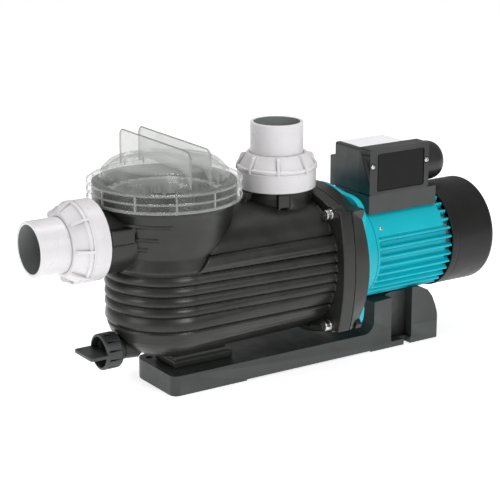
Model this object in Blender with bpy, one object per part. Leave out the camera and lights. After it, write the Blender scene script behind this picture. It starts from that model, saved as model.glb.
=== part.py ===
"""Self-priming pool pump: strainer pot and volute in one moulding, induction motor behind it, both on a narrow base.

Frame: metres, +Z up, floor at z = 0, +X from the suction side to the motor's fan, origin below the middle
of the pump. The shaft runs along +X, and the suction and discharge unions lie in the plane y = 0.
"""

import math

import bmesh
import bpy
from mathutils import Matrix, Vector

# ---------------------------------------------------------------- driving dimensions
GAP = 0.0003                      # clearance left between touching pieces
SHAFT_Z = 0.1350                  # shaft height above the floor
POT_X = -0.1445                   # strainer pot's vertical axis
INLET_Z = 0.2050                  # suction union's axis
OUTLET_X = 0.0220                 # discharge union's axis
INLET_END_X = -0.3305             # open end of the suction tail
OUTLET_END_Z = 0.3195             # open end of the discharge tail

# pipe unions (measured from the tail's open end)
TAIL_R = 0.0340
SOCKET_R = 0.0297
TAIL_BORE_R = 0.0255
SOCKET_DEPTH = 0.0340
NUT_START = 0.0395
NUT_SHOULDER = 0.0555
NUT_END = 0.0845
NUT_R = 0.0505
NUT_THREAD_R = 0.0438
TAIL_FLANGE_R = 0.0425
TAIL_FLANGE_START = 0.0500
TAIL_FLANGE_END = 0.0560
SPIGOT_R = NUT_THREAD_R - 2 * GAP
O_RING_ROOM = 0.0038
DUCT_R = 0.0260

# strainer pot and lid
POT_R = 0.0768
POT_RIM_R = 0.0895
POT_RIM_Z = 0.2655
POT_FLOOR_Z = 0.0600
SEAL_GROOVE = (0.0808, 0.0862)    # radii of the lid seal's groove in the pot's rim
SEAL_GROOVE_DEPTH = 0.0036
COLLAR_R = 0.0945
COLLAR_Z = 0.2440
SHOULDER_Z = 0.2690
DOME_FOOT_Z = 0.2730
DOME_EDGE_R = 0.0795
DOME_EDGE_Z = 0.2790
CROWN_R = 0.0700
CROWN_Z = 0.2895
LID_WALL = 0.0042
LID_SEAT_Z = POT_RIM_Z + 0.0014
FIN_TOP_Z = 0.3168
FIN_HALF_LENGTH = 0.0860
FIN_OFFSET = 0.0137
FIN_THICKNESS = 0.0030
COLLAR_RIBS = 12

# strainer basket
BASKET_TOP_Z = 0.2515
BASKET_FLOOR_Z = 0.0720
BASKET_R = 0.0655
BASKET_FLOOR_R = 0.0480
BASKET_RIM_R = 0.0750
BASKET_WALL = 0.0022
BASKET_WINDOWS = 8                # in each row
BASKET_ROWS_Z = ((0.110, 0.166), (0.174, 0.230))

# pump casing: heights of the grooves round the pot and flanks, and the arch over the volute
GROOVES_Z = (0.1623, 0.1490, 0.1360, 0.1228, 0.1100, 0.0915)
GROOVE_DEPTH = 0.0032
FLANK_R = 0.0925
CREASE_Z = 0.1825
ARCH_R = 0.0990
ARCH_CENTRE_Z = SHAFT_Z - 0.0110
ARCH_HALF_WIDTH = 0.0800

# flange joint between pump and motor
FLANGE_X = 0.0535
FLANGE_THICKNESS = 0.0180
FLANGE_OUTLINE = (0.0905, 0.0790, 0.1060, 0.0960)
REAR_OUTLINE = (0.0775, 0.0790, 0.1060, 0.0960)
GASKET = 0.0015
BRACKET_X = FLANGE_X + FLANGE_THICKNESS + GASKET + 2 * GAP
BRACKET_END_X = 0.0935
BRACKET_BORE_R = 0.0620
BOLT_Y = 0.0745
BOLT_Z = 0.0733
BOLT_R = 0.0040
BOLT_END_X = BRACKET_END_X + 0.0060
CHAMBER_R = 0.0745
CHAMBER_X = -0.0320

# hydraulics
IMPELLER_X = -0.0150
IMPELLER_R = 0.0600
IMPELLER_WIDTH = 0.0200
IMPELLER_BLADES = 6

# motor
SHIELD_X = BRACKET_END_X + GAP
HOUSING_X = 0.1360
HOUSING_END_X = 0.2605
FIN_TIP_R = 0.0695
FIN_ROOT_R = 0.0625
HOUSING_BORE_R = 0.0580
HOUSING_FINS = 32
SHIELD_OVAL = (0.0860, 0.0925)    # half width and half height
SHIELD_EAR = 0.0225
SHIELD_EAR_SPREAD = 0.30
CORE_X = (0.1560, 0.2350)
AIR_GAP_R = (0.0330, 0.0338)
BEARING_R = 0.0200
FAN_X = 0.2930
FAN_R = 0.0600
COWL_X = HOUSING_END_X + GAP
COWL_END_X = 0.3325
COWL_R = 0.0712
COWL_WALL = 0.0025
SHAFT_R = 0.0080
SHAFT_END_X = 0.3030

# terminal box on the motor
BOX_X = (0.1365, 0.2175)
SKIRT_X = (0.1355, 0.2485)
COVER_X = (0.1355, 0.2330)
BOX_Y = (-0.0240, 0.0290)
COVER_Y = (-0.0480, -0.0243)
SKIRT_Z = (0.1895, 0.2145)
BOX_TOP_Z = 0.2735
COVER_TOP_Z = 0.2760
CAPACITOR_AXIS = (0.0040, 0.2365)
CAPACITOR_R = 0.0268
CAPACITOR_END_X = 0.2867
PANEL_X = (0.1490, 0.2245)
PANEL_Z = (0.2190, 0.2690)
PANEL_DEPTH = 0.0018
COVER_SCREWS = ((0.1400, 0.2530), (0.2290, 0.2520))
GLAND_X = 0.1765
GLAND_Z = 0.2320

# base
BASE_X = (-0.1645, 0.2585)
BASE_HALF_WIDTH = 0.0490
BASE_TOP_Z = 0.0260
BASE_REAR_R = 0.0260              # plan radius of the two corners below the motor

# drain plug
DRAIN_Z = 0.0600
DRAIN_FACE_X = POT_X - 0.0970
DRAIN_CAP_R = 0.0228
DRAIN_NECK_R = 0.0155
DRAIN_THREAD_R = 0.0100

COLOURS = {
    "body_black": ((0.030, 0.031, 0.029), 0.42, 0.0),
    "clear_lid": ((0.78, 0.80, 0.79), 0.08, 0.0),
    "white_pvc": ((0.80, 0.79, 0.80), 0.35, 0.0),
    "motor_turquoise": ((0.0, 0.40, 0.50), 0.40, 0.0),
    "box_black": ((0.035, 0.040, 0.038), 0.45, 0.0),
    "rubber_black": ((0.012, 0.012, 0.012), 0.60, 0.0),
    "basket_grey": ((0.45, 0.46, 0.45), 0.50, 0.0),
    "steel": ((0.60, 0.60, 0.60), 0.28, 1.0),
    "cast_aluminium": ((0.55, 0.56, 0.57), 0.45, 1.0),
    "laminated_steel": ((0.30, 0.30, 0.31), 0.50, 1.0),
    "copper": ((0.72, 0.33, 0.14), 0.40, 1.0),
    "seal_ceramic": ((0.85, 0.84, 0.80), 0.30, 0.0),
    "label_white": ((0.82, 0.82, 0.84), 0.40, 0.0),
}


# ---------------------------------------------------------------- tools
def clear_scene():
    for thing in list(bpy.data.objects):
        bpy.data.objects.remove(thing, do_unlink=True)


def material(name):
    found = bpy.data.materials.get(name)
    if found:
        return found
    colour, roughness, metallic = COLOURS[name]
    made = bpy.data.materials.new(name)
    made.use_nodes = True
    shader = made.node_tree.nodes["Principled BSDF"]
    shader.inputs["Base Color"].default_value = (*colour, 1.0)
    shader.inputs["Roughness"].default_value = roughness
    shader.inputs["Metallic"].default_value = metallic
    made.diffuse_color = (*colour, 1.0)
    return made


def axis_point(axis, radius, angle, along, centre):
    """A point on a circle round an axis through centre; angle 0 is +X for axis Z and +Y for axis X."""
    c, s = radius * math.cos(angle), radius * math.sin(angle)
    offset = {"Z": (c, s, along), "X": (along, c, s), "Y": (s, along, c)}[axis]
    return Vector(centre) + Vector(offset)


def loft(rings, closed=False):
    """Skins rings of points one after another; the two ends are capped unless the loft closes on itself."""
    bm = bmesh.new()
    rows = [[bm.verts.new(p) for p in ring] for ring in rings]
    pairs = list(zip(rows, rows[1:] + ([rows[0]] if closed else [])))
    for low, high in pairs:
        if len(low) == 1 and len(high) == 1:
            continue
        count = max(len(low), len(high))
        for i in range(count):
            j = (i + 1) % count
            corners = [low[i % len(low)], low[j % len(low)], high[j % len(high)], high[i % len(high)]]
            bm.faces.new(list(dict.fromkeys(corners)))
    if not closed:
        for row in (rows[0], rows[-1]):
            if len(row) > 2:
                bm.faces.new(row)
    bmesh.ops.recalc_face_normals(bm, faces=bm.faces)
    return bm


def turned(profile, axis="Z", centre=(0, 0, 0), segments=40):
    """A turned solid from a closed outline of (radius, place along the axis)."""
    rings = []
    for radius, along in profile:
        if radius < 1e-7:
            rings.append([axis_point(axis, 0, 0, along, centre)])
        else:
            rings.append([axis_point(axis, radius, 2 * math.pi * i / segments, along, centre)
                          for i in range(segments)])
    on_axis = profile[0][0] < 1e-7 and profile[-1][0] < 1e-7
    return loft(rings, closed=not on_axis)


def rod(radius, start, end, axis="Z", centre=(0, 0, 0), segments=24):
    return turned([(0, start), (radius, start), (radius, end), (0, end)], axis, centre, segments)


def tube(inner, outer, start, end, axis="Z", centre=(0, 0, 0), segments=32):
    return turned([(inner, start), (outer, start), (outer, end), (inner, end)], axis, centre, segments)


def ring_seal(radius, thickness, along, axis, centre, segments=32):
    """An O-ring of round section."""
    sides = 8
    profile = [(radius + thickness * math.cos(2 * math.pi * k / sides),
                along + thickness * math.sin(2 * math.pi * k / sides)) for k in range(sides)]
    return turned(profile, axis, centre, segments)


def prism(outline, start, end, axis="Z"):
    """Extrudes a flat outline; its points are (x, y) for axis Z, (y, z) for axis X and (x, z) for axis Y."""
    place = {"Z": lambda a, b, t: (a, b, t), "X": lambda a, b, t: (t, a, b), "Y": lambda a, b, t: (a, t, b)}[axis]
    return loft([[Vector(place(a, b, t)) for a, b in outline] for t in (start, end)])


def block(low, high):
    (x0, y0, z0), (x1, y1, z1) = low, high
    return prism([(x0, y0), (x1, y0), (x1, y1), (x0, y1)], z0, z1)


def rounded_rectangle(low, high, radius, steps=4):
    (a0, b0), (a1, b1) = low, high
    corners = ((a1 - radius, b1 - radius, 0), (a0 + radius, b1 - radius, 1),
               (a0 + radius, b0 + radius, 2), (a1 - radius, b0 + radius, 3))
    return [(a + radius * math.cos((q + k / steps) * math.pi / 2),
             b + radius * math.sin((q + k / steps) * math.pi / 2))
            for a, b, q in corners for k in range(steps + 1)]


def turned_about(bm, axis, angle, centre):
    """Turns a solid drawn at the origin and sets it down at centre."""
    bm.transform(Matrix.Translation(centre) @ Matrix.Rotation(angle, 4, axis))
    return bm


def bulged_square(half_side, half_height, bulge_y, bulge_z, steps=4):
    """A square with outward curved sides and small chamfered corners, as (y, z) places about the shaft."""
    corner = 0.006
    points = []
    for quarter in range(4):
        a, b = (half_side, half_height) if quarter % 2 == 0 else (half_height, half_side)
        rise = (bulge_y - half_side) if quarter % 2 == 0 else (bulge_z - half_height)
        for k in range(steps + 1):
            t = -1 + 2 * k / steps
            u, v = a + rise * (1 - t * t), t * (b - corner)
            turn = quarter * math.pi / 2
            points.append((u * math.cos(turn) - v * math.sin(turn),
                           SHAFT_Z + u * math.sin(turn) + v * math.cos(turn)))
    return points


def finish(name, bm, finish_name, origin=(0, 0, 0), sharp=35):
    """Makes the named object, with its own origin at the given place."""
    mesh = bpy.data.meshes.new(name)
    bm.to_mesh(mesh)
    bm.free()
    mesh.transform(Matrix.Translation(-Vector(origin)))
    mesh.materials.append(material(finish_name))
    mesh.shade_smooth()
    mesh.set_sharp_from_angle(angle=math.radians(sharp))
    made = bpy.data.objects.new(name, mesh)
    made.location = origin
    bpy.context.scene.collection.objects.link(made)
    return made


def helper(bm):
    mesh = bpy.data.meshes.new("helper")
    bm.to_mesh(mesh)
    bm.free()
    made = bpy.data.objects.new("helper", mesh)
    bpy.context.scene.collection.objects.link(made)
    return made


def combined(base, add=(), cut=()):
    """Joins and cuts solids with exact Booleans and gives back one mesh."""
    body = helper(base)
    tools = []
    for operation, solids in (("UNION", add), ("DIFFERENCE", cut)):
        if not solids:
            continue
        group = bpy.data.collections.new(operation.lower())
        for solid in solids:
            tools.append(helper(solid))
            group.objects.link(tools[-1])
        step = body.modifiers.new(operation.lower(), "BOOLEAN")
        step.operation = operation
        step.solver = "EXACT"
        step.operand_type = "COLLECTION"
        step.collection = group
    bpy.context.view_layer.update()
    graph = bpy.context.evaluated_depsgraph_get()
    result = bmesh.new()
    result.from_mesh(body.evaluated_get(graph).to_mesh())
    bmesh.ops.remove_doubles(result, verts=result.verts, dist=1e-6)
    for thing in [body] + tools:
        bpy.data.objects.remove(thing, do_unlink=True)
    return result


# ---------------------------------------------------------------- pump body
def flank_half_width(height):
    """Half width of the ribbed flank where it meets the flange: the casing is round about the shaft."""
    above = height - (SHAFT_Z + 0.006)
    return max(0.030, math.sqrt(max(0.0, FLANK_R ** 2 - above ** 2)))


def pot_radius(height):
    """Outer radius of the pot at a height: straight, then a bowl below the lowest groove."""
    bowl_top, bowl_bottom = GROOVES_Z[-1], 0.048
    if height >= bowl_top:
        return POT_R
    fall = (bowl_top - height) / (bowl_top - bowl_bottom)
    return POT_R - 0.003 - 0.036 * fall ** 2.2


def flank_outline(height, inset):
    """Plan of the ribbed moulding: round the pot, then straight along both flanks to the flange."""
    radius = pot_radius(height) - inset
    width = flank_half_width(height) - inset
    steps = 12
    arc = [(POT_X + radius * math.cos(a), radius * math.sin(a))
           for a in (math.pi / 2 + math.pi * k / steps for k in range(steps + 1))]
    return arc + [(FLANGE_X + 0.002, -width), (FLANGE_X + 0.002, width)]


def ribbed_moulding():
    levels = []
    for upper, lower in zip(GROOVES_Z, GROOVES_Z[1:]):
        levels += [(upper, GROOVE_DEPTH), (upper - 0.0040, 0.0008), (lower + 0.0025, 0.0)]
    levels += [(GROOVES_Z[-1], GROOVE_DEPTH), (GROOVES_Z[-1] - 0.003, 0.0),
               (0.078, 0.0), (0.066, 0.0), (0.056, 0.0), (0.049, 0.002)]
    return loft([[Vector((x, y, height)) for x, y in flank_outline(height, inset)] for height, inset in levels])


def top_band(side):
    """The tallest rib leans in to the casing's arch, and its end beside the pot is cut off at a slant."""
    foot, end, inner = GROOVES_Z[0] + 0.0013, FLANGE_X + 0.002, 0.040
    sections = []
    for height, start, y_pot, y_flange in ((foot, -0.0010, 0.0775, 0.0885), (foot + 0.0022, 0.0010, 0.0796, 0.0904),
                                           (foot + 0.0080, 0.0062, 0.0797, 0.0893),
                                           (CREASE_Z + 0.002, 0.0190, 0.0735, 0.0790)):
        plan = [(POT_X + start, inner), (POT_X + start, y_pot), (end, y_flange), (end, inner)]
        sections.append([Vector((x, side * y, height)) for x, y in plan])
    return loft(sections)


def volute_arch():
    """The casing above the ribs: a flat arch over the shaft, a little wider towards the flange."""
    edge = math.asin(ARCH_HALF_WIDTH / ARCH_R)
    steps = 12
    turns = [edge - 2 * edge * k / steps for k in range(steps + 1)]
    foot_z = SHAFT_Z - 0.010
    sections = []
    for x, half_width in ((POT_X, 0.0735), (POT_X + 0.030, 0.0765), (FLANGE_X + 0.003, ARCH_HALF_WIDTH)):
        squeeze = half_width / ARCH_HALF_WIDTH
        arch = [Vector((x, squeeze * ARCH_R * math.sin(a), ARCH_CENTRE_Z + ARCH_R * math.cos(a))) for a in turns]
        sections.append(arch + [Vector((x, -0.060, foot_z)), Vector((x, 0.060, foot_z))])
    return loft(sections)


def outlet_neck(top):
    """The discharge neck and its flare, which runs out flat against the flange."""
    rings = []
    for radius, height in ((0.0640, 0.1955), (0.0600, 0.2025), (0.0540, 0.2078), (0.0490, 0.2132), (0.0458, 0.2195),
                           (SPIGOT_R, 0.2330), (SPIGOT_R, top)):
        turns = [2 * math.pi * k / 32 for k in range(32)]
        rings.append([Vector((min(OUTLET_X + radius * math.cos(a), FLANGE_X + 0.010), radius * math.sin(a), height))
                      for a in turns])
    return loft(rings)


def inlet_throat():
    """Between the suction neck and the pot: an oval, flattened at the top to pass below the lid's collar."""
    wide, up, down = 0.0445, 0.0375, 0.0445
    turns = [2 * math.pi * k / 24 for k in range(24)]
    return loft([[Vector((x, wide * math.cos(a), INLET_Z + (up if math.sin(a) > 0 else down) * math.sin(a)))
                  for a in turns] for x in (INLET_END_X + NUT_END + 0.0007, POT_X - 0.020)])


def across(outline, x):
    return [Vector((x, y, z)) for y, z in outline]


def flange_plate(start, end, outline, end_outline):
    return loft([across(bulged_square(*outline), start), across(bulged_square(*end_outline), end)])


def bolt_places():
    return [(side * BOLT_Y, SHAFT_Z + rise * BOLT_Z) for side in (-1, 1) for rise in (1, -1)]


def pump_body():
    pot = turned([(0, POT_FLOOR_Z - 0.006), (0.045, POT_FLOOR_Z - 0.006), (POT_R - 0.0042, 0.085),
                  (POT_R - 0.0042, GROOVES_Z[0] - 0.002), (POT_R, GROOVES_Z[0] + 0.0042), (0.0744, CREASE_Z),
                  (0.0765, 0.1950), (0.0786, 0.2060), (0.0842, 0.2270), (POT_RIM_R, 0.2405), (POT_RIM_R, POT_RIM_Z),
                  (0, POT_RIM_Z)], centre=(POT_X, 0, 0), segments=36)
    outlet_top = OUTLET_END_Z - TAIL_FLANGE_END - O_RING_ROOM
    inlet_start = INLET_END_X + TAIL_FLANGE_END + O_RING_ROOM
    inlet_neck = rod(SPIGOT_R, inlet_start, INLET_END_X + NUT_END + 0.001, "X", (0, 0, INLET_Z), 32)
    drain_neck = rod(DRAIN_NECK_R, DRAIN_FACE_X + 0.0243, POT_X - 0.045, "X", (0, 0, DRAIN_Z), 20)
    foot = block((POT_X - 0.003, -0.024, BASE_TOP_Z + GAP), (POT_X + 0.083, 0.024, BASE_TOP_Z + 0.0095))
    pedestal = block((POT_X - 0.001, -0.022, BASE_TOP_Z + 0.004), (POT_X + 0.070, 0.022, POT_FLOOR_Z + 0.004))
    lug_foot, lug_top = 0.2172, OUTLET_END_Z - NUT_END - 0.0007
    outlet_lugs = [turned_about(block((0.030, -0.0072, lug_foot), (reach, 0.0072, lug_top)), "Z",
                                math.radians(turn), (OUTLET_X, 0, 0))
                   for turn, reach in ((180, 0.0525), (247, 0.0500), (113, 0.0500))]
    inlet_lugs = []
    for y0, y1 in ((-0.0478, -0.0300), (0.0300, 0.0478)):
        inlet_lugs.append(block((INLET_END_X + NUT_END + 0.001, y0, INLET_Z + 0.0012),
                                (POT_X - 0.0690, y1, INLET_Z + 0.0190)))

    cavity = turned([(0, POT_FLOOR_Z), (0.048, POT_FLOOR_Z), (0.0668, 0.088), (0.0693, 0.200),
                     (0.0708, 0.240), (0.0775, 0.2480), (0.0775, POT_RIM_Z + 0.01), (0, POT_RIM_Z + 0.01)],
                    centre=(POT_X, 0, 0), segments=32)
    seal_groove = tube(*SEAL_GROOVE, POT_RIM_Z - SEAL_GROOVE_DEPTH, POT_RIM_Z + 0.01, centre=(POT_X, 0, 0))
    inlet_duct = rod(DUCT_R, inlet_start - 0.01, POT_X - 0.030, "X", (0, 0, INLET_Z), 24)
    suction_duct = rod(0.0280, POT_X + 0.030, CHAMBER_X + 0.005, "X", (0, 0, SHAFT_Z), 24)
    chamber = rod(CHAMBER_R, CHAMBER_X, FLANGE_X + FLANGE_THICKNESS + 0.01, "X", (0, 0, SHAFT_Z), 32)
    outlet_duct = rod(DUCT_R, SHAFT_Z + 0.040, outlet_top + 0.01, "Z", (OUTLET_X, 0, 0), 24)
    drain_duct = rod(DRAIN_THREAD_R, DRAIN_FACE_X, POT_X - 0.030, "X", (0, 0, DRAIN_Z), 16)
    holes = [rod(BOLT_R + GAP, FLANGE_X - 0.01, FLANGE_X + FLANGE_THICKNESS + 0.01, "X", (0, y, z), 12)
             for y, z in bolt_places()]
    flange = flange_plate(FLANGE_X, FLANGE_X + FLANGE_THICKNESS, FLANGE_OUTLINE, FLANGE_OUTLINE)
    body = combined(ribbed_moulding(),
                    add=[pot, volute_arch(), top_band(1), top_band(-1), outlet_neck(outlet_top), inlet_neck,
                         inlet_throat(), flange, drain_neck, foot, pedestal, *outlet_lugs, *inlet_lugs],
                    cut=[cavity, seal_groove, inlet_duct, suction_duct, chamber, outlet_duct, drain_duct, *holes])
    finish("pump_body", body, "body_black")


# ---------------------------------------------------------------- strainer lid and basket
def strainer_lid():
    collar = turned([(0, CROWN_Z), (CROWN_R, CROWN_Z), (DOME_EDGE_R, DOME_EDGE_Z),
                     (DOME_EDGE_R + 0.001, DOME_FOOT_Z), (COLLAR_R - 0.003, SHOULDER_Z + 0.0025),
                     (COLLAR_R, SHOULDER_Z), (COLLAR_R, COLLAR_Z), (COLLAR_R - LID_WALL, COLLAR_Z),
                     (COLLAR_R - LID_WALL, LID_SEAT_Z), (DOME_EDGE_R - LID_WALL + 0.001, LID_SEAT_Z),
                     (DOME_EDGE_R - LID_WALL, DOME_EDGE_Z - 0.002), (CROWN_R - 0.002, CROWN_Z - LID_WALL),
                     (0, CROWN_Z - LID_WALL)], centre=(POT_X, 0, 0), segments=32)
    fins = []
    for side in (-1, 1):
        x = POT_X + side * FIN_OFFSET
        outline = rounded_rectangle((-FIN_HALF_LENGTH, SHOULDER_Z + 0.001), (FIN_HALF_LENGTH, FIN_TOP_Z), 0.009, 3)
        fins.append(prism(outline, x - FIN_THICKNESS / 2, x + FIN_THICKNESS / 2, "X"))
    ribs = []
    for k in range(COLLAR_RIBS):
        rib = block((COLLAR_R - 0.002, -0.0013, COLLAR_Z + 0.0005), (COLLAR_R + 0.0015, 0.0013, SHOULDER_Z - 0.001))
        ribs.append(turned_about(rib, "Z", math.radians(9 + 360 * k / COLLAR_RIBS), (POT_X, 0, 0)))
    inside = turned([(0, CROWN_Z - LID_WALL), (CROWN_R - 0.002, CROWN_Z - LID_WALL),
                     (DOME_EDGE_R - LID_WALL, DOME_EDGE_Z - 0.002), (DOME_EDGE_R - LID_WALL + 0.001, LID_SEAT_Z),
                     (COLLAR_R - LID_WALL, LID_SEAT_Z), (COLLAR_R - LID_WALL, COLLAR_Z - 0.01), (0, COLLAR_Z - 0.01)],
                    centre=(POT_X, 0, 0), segments=32)
    finish("strainer_lid", combined(collar, add=fins + ribs, cut=[inside]), "clear_lid", (POT_X, 0, COLLAR_Z))
    seal = ring_seal(sum(SEAL_GROOVE) / 2, 0.0022, POT_RIM_Z - SEAL_GROOVE_DEPTH + 0.0025, "Z", (POT_X, 0, 0), 32)
    finish("lid_o_ring", seal, "rubber_black", (POT_X, 0, POT_RIM_Z))


def strainer_basket():
    inner = BASKET_R - BASKET_WALL
    cup = turned([(0, BASKET_FLOOR_Z), (BASKET_FLOOR_R, BASKET_FLOOR_Z), (BASKET_R, 0.105),
                  (BASKET_R, BASKET_TOP_Z - 0.009), (BASKET_RIM_R, BASKET_TOP_Z - 0.003), (BASKET_RIM_R, BASKET_TOP_Z),
                  (inner, BASKET_TOP_Z), (inner, 0.105), (BASKET_FLOOR_R - BASKET_WALL, BASKET_FLOOR_Z + BASKET_WALL),
                  (0, BASKET_FLOOR_Z + BASKET_WALL)], centre=(POT_X, 0, 0), segments=28)
    windows = [turned_about(block((0.050, -0.019, low), (0.080, 0.019, high)), "Z",
                            2 * math.pi * (k + 0.5) / BASKET_WINDOWS, (POT_X, 0, 0))
               for k in range(BASKET_WINDOWS) for low, high in BASKET_ROWS_Z]
    finish("strainer_basket", combined(cup, cut=windows), "basket_grey", (POT_X, 0, BASKET_FLOOR_Z))


# ---------------------------------------------------------------- unions
def union_frame(side):
    """Where a union sits: its axis, its centre line and a function from distance behind the open end."""
    if side == "inlet":
        return "X", (0, 0, INLET_Z), lambda d: INLET_END_X + d
    return "Z", (OUTLET_X, 0, 0), lambda d: OUTLET_END_Z - d


def union_parts(side):
    axis, centre, along = union_frame(side)
    start = Vector((INLET_END_X, 0, INLET_Z)) if side == "inlet" else Vector((OUTLET_X, 0, OUTLET_END_Z))
    tail = turned([(SOCKET_R, along(0)), (TAIL_R, along(0)), (TAIL_R, along(TAIL_FLANGE_START)),
                   (TAIL_FLANGE_R, along(TAIL_FLANGE_START)), (TAIL_FLANGE_R, along(TAIL_FLANGE_END)),
                   (TAIL_BORE_R, along(TAIL_FLANGE_END)), (TAIL_BORE_R, along(SOCKET_DEPTH)),
                   (SOCKET_R, along(SOCKET_DEPTH))], axis, centre, 24)
    finish(side + "_tail", tail, "white_pvc", start)

    nut = turned([(TAIL_R + 0.0006, along(NUT_START)), (0.0385, along(NUT_START)), (0.0490, along(NUT_SHOULDER)),
                  (NUT_R + 0.001, along(NUT_SHOULDER + 0.001)), (NUT_R + 0.001, along(NUT_SHOULDER + 0.005)),
                  (NUT_R - 0.0005, along(NUT_SHOULDER + 0.0055)), (NUT_R, along(NUT_END)),
                  (NUT_THREAD_R, along(NUT_END)), (NUT_THREAD_R, along(TAIL_FLANGE_START - GAP)),
                  (TAIL_R + 0.0006, along(TAIL_FLANGE_START - GAP))], axis, centre, 24)
    ribs = []
    for k in range(8):
        outline = [(0.0370, NUT_START + 0.001), (0.0430, NUT_START + 0.0005), (0.0460, NUT_START + 0.004),
                   (0.0525, NUT_SHOULDER), (0.0525, NUT_SHOULDER + 0.004), (0.0470, NUT_SHOULDER + 0.004),
                   (0.0450, NUT_SHOULDER - 0.002)]
        rib = prism([(r, d) for r, d in outline], -0.0016, 0.0016, "Y")
        if side == "inlet":
            place = Matrix.Translation(start) @ Matrix.Rotation(2 * math.pi * k / 8, 4, "X") @ \
                Matrix(((0, 0, 1, 0), (0, 1, 0, 0), (1, 0, 0, 0), (0, 0, 0, 1)))
        else:
            place = Matrix.Translation(start) @ Matrix.Rotation(2 * math.pi * (k + 0.3) / 8, 4, "Z") @ \
                Matrix.Diagonal((1, 1, -1, 1))
        rib.transform(place)
        bmesh.ops.recalc_face_normals(rib, faces=rib.faces)
        ribs.append(rib)
    finish(side + "_nut", combined(nut, add=ribs), "white_pvc", start)
    seat = TAIL_FLANGE_END + O_RING_ROOM / 2
    finish(side + "_o_ring", ring_seal(0.0355, 0.0016, along(seat), axis, centre, 24), "rubber_black", start)


# ---------------------------------------------------------------- drain plug
def drain_plug():
    centre = (0, 0, DRAIN_Z)
    face = DRAIN_FACE_X
    cap = turned([(0, face + 0.007), (0.0190, face + 0.007), (0.0205, face), (DRAIN_CAP_R, face + 0.001),
                  (DRAIN_CAP_R, face + 0.021), (DRAIN_CAP_R - 0.0015, face + 0.0235),
                  (DRAIN_THREAD_R - 0.0004, face + 0.0235), (DRAIN_THREAD_R - 0.0004, face + 0.040),
                  (0, face + 0.040)], "X", centre, 24)
    wing = prism(rounded_rectangle((face - 0.0225, -0.0230), (face + 0.010, 0.0230), 0.004, 2),
                 DRAIN_Z - 0.0022, DRAIN_Z + 0.0022)
    seal_groove = tube(DRAIN_THREAD_R - 0.0022, DRAIN_THREAD_R + 0.01, face + 0.0300, face + 0.0336, "X", centre, 16)
    finish("drain_plug", combined(cap, add=[wing], cut=[seal_groove]), "body_black", (face, 0, DRAIN_Z))
    seal = turned([(DRAIN_THREAD_R - 0.0019, face + 0.0303), (DRAIN_THREAD_R - 0.0003, face + 0.0303),
                   (DRAIN_THREAD_R - 0.0003, face + 0.0333), (DRAIN_THREAD_R - 0.0019, face + 0.0333)],
                  "X", centre, 16)
    finish("drain_o_ring", seal, "rubber_black", (face, 0, DRAIN_Z))


# ---------------------------------------------------------------- hydraulics and shaft
def shaft_line():
    """Everything that turns: shaft, impeller, seal, rotor and fan."""
    centre = origin = (0, 0, SHAFT_Z)
    shaft = turned([(0, IMPELLER_X - 0.004), (0.0050, IMPELLER_X - 0.004), (0.0050, IMPELLER_X + 0.012),
                    (SHAFT_R, IMPELLER_X + 0.012), (SHAFT_R, SHAFT_END_X), (0, SHAFT_END_X)], "X", centre, 16)
    finish("motor_shaft", shaft, "steel", origin)

    back = IMPELLER_X + IMPELLER_WIDTH
    hub = turned([(0.0053, IMPELLER_X), (0.0110, IMPELLER_X), (0.0140, back - 0.005), (IMPELLER_R, back - 0.003),
                  (IMPELLER_R, back), (0.0130, back), (0.0130, back + 0.006), (SHAFT_R + GAP, back + 0.006),
                  (SHAFT_R + GAP, IMPELLER_X + 0.0117), (0.0053, IMPELLER_X + 0.0117)], "X", centre, 20)
    shroud = turned([(0.0240, IMPELLER_X - 0.010), (0.0270, IMPELLER_X - 0.010), (0.0270, IMPELLER_X + 0.002),
                     (IMPELLER_R, IMPELLER_X + 0.008), (IMPELLER_R, IMPELLER_X + 0.011),
                     (0.0240, IMPELLER_X + 0.005)], "X", centre, 20)
    blades = []
    for k in range(IMPELLER_BLADES):
        spine = [(0.0125 + (IMPELLER_R - 0.0145) * t, -1.25 * t) for t in (0, 0.33, 0.67, 1)]
        left = [(r * math.cos(a), r * math.sin(a)) for r, a in spine]
        right = [((r + 0.0017) * math.cos(a + 0.05), (r + 0.0017) * math.sin(a + 0.05)) for r, a in spine]
        blade = prism(left + right[::-1], IMPELLER_X + 0.0095, back - 0.0015, "X")
        blades.append(turned_about(blade, "X", 2 * math.pi * k / IMPELLER_BLADES, centre))
    finish("impeller", combined(hub, add=[shroud] + blades), "box_black", origin)

    seal = turned([(SHAFT_R + GAP, back + 0.0063), (0.0145, back + 0.0063), (0.0145, back + 0.012),
                   (0.0125, back + 0.015), (0.0125, back + 0.0185), (SHAFT_R + GAP, back + 0.0185)], "X", centre, 16)
    finish("seal_rotating", seal, "rubber_black", origin)
    finish("rotor_core", tube(SHAFT_R + GAP, AIR_GAP_R[0], *CORE_X, "X", centre, 24), "laminated_steel", origin)

    hub = tube(SHAFT_R + GAP, 0.0150, FAN_X - 0.004, FAN_X + 0.009, "X", centre, 20)
    disc = tube(0.0120, FAN_R - 0.004, FAN_X - 0.0015, FAN_X + 0.0007, "X", centre, 24)
    blades = [turned_about(block((FAN_X - 0.0004, 0.0130, -0.0010), (FAN_X + 0.016, FAN_R, 0.0010)), "X",
                           2 * math.pi * (k + 0.21) / 7, centre) for k in range(7)]
    finish("cooling_fan", combined(hub, add=[disc] + blades), "box_black", origin)


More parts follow.
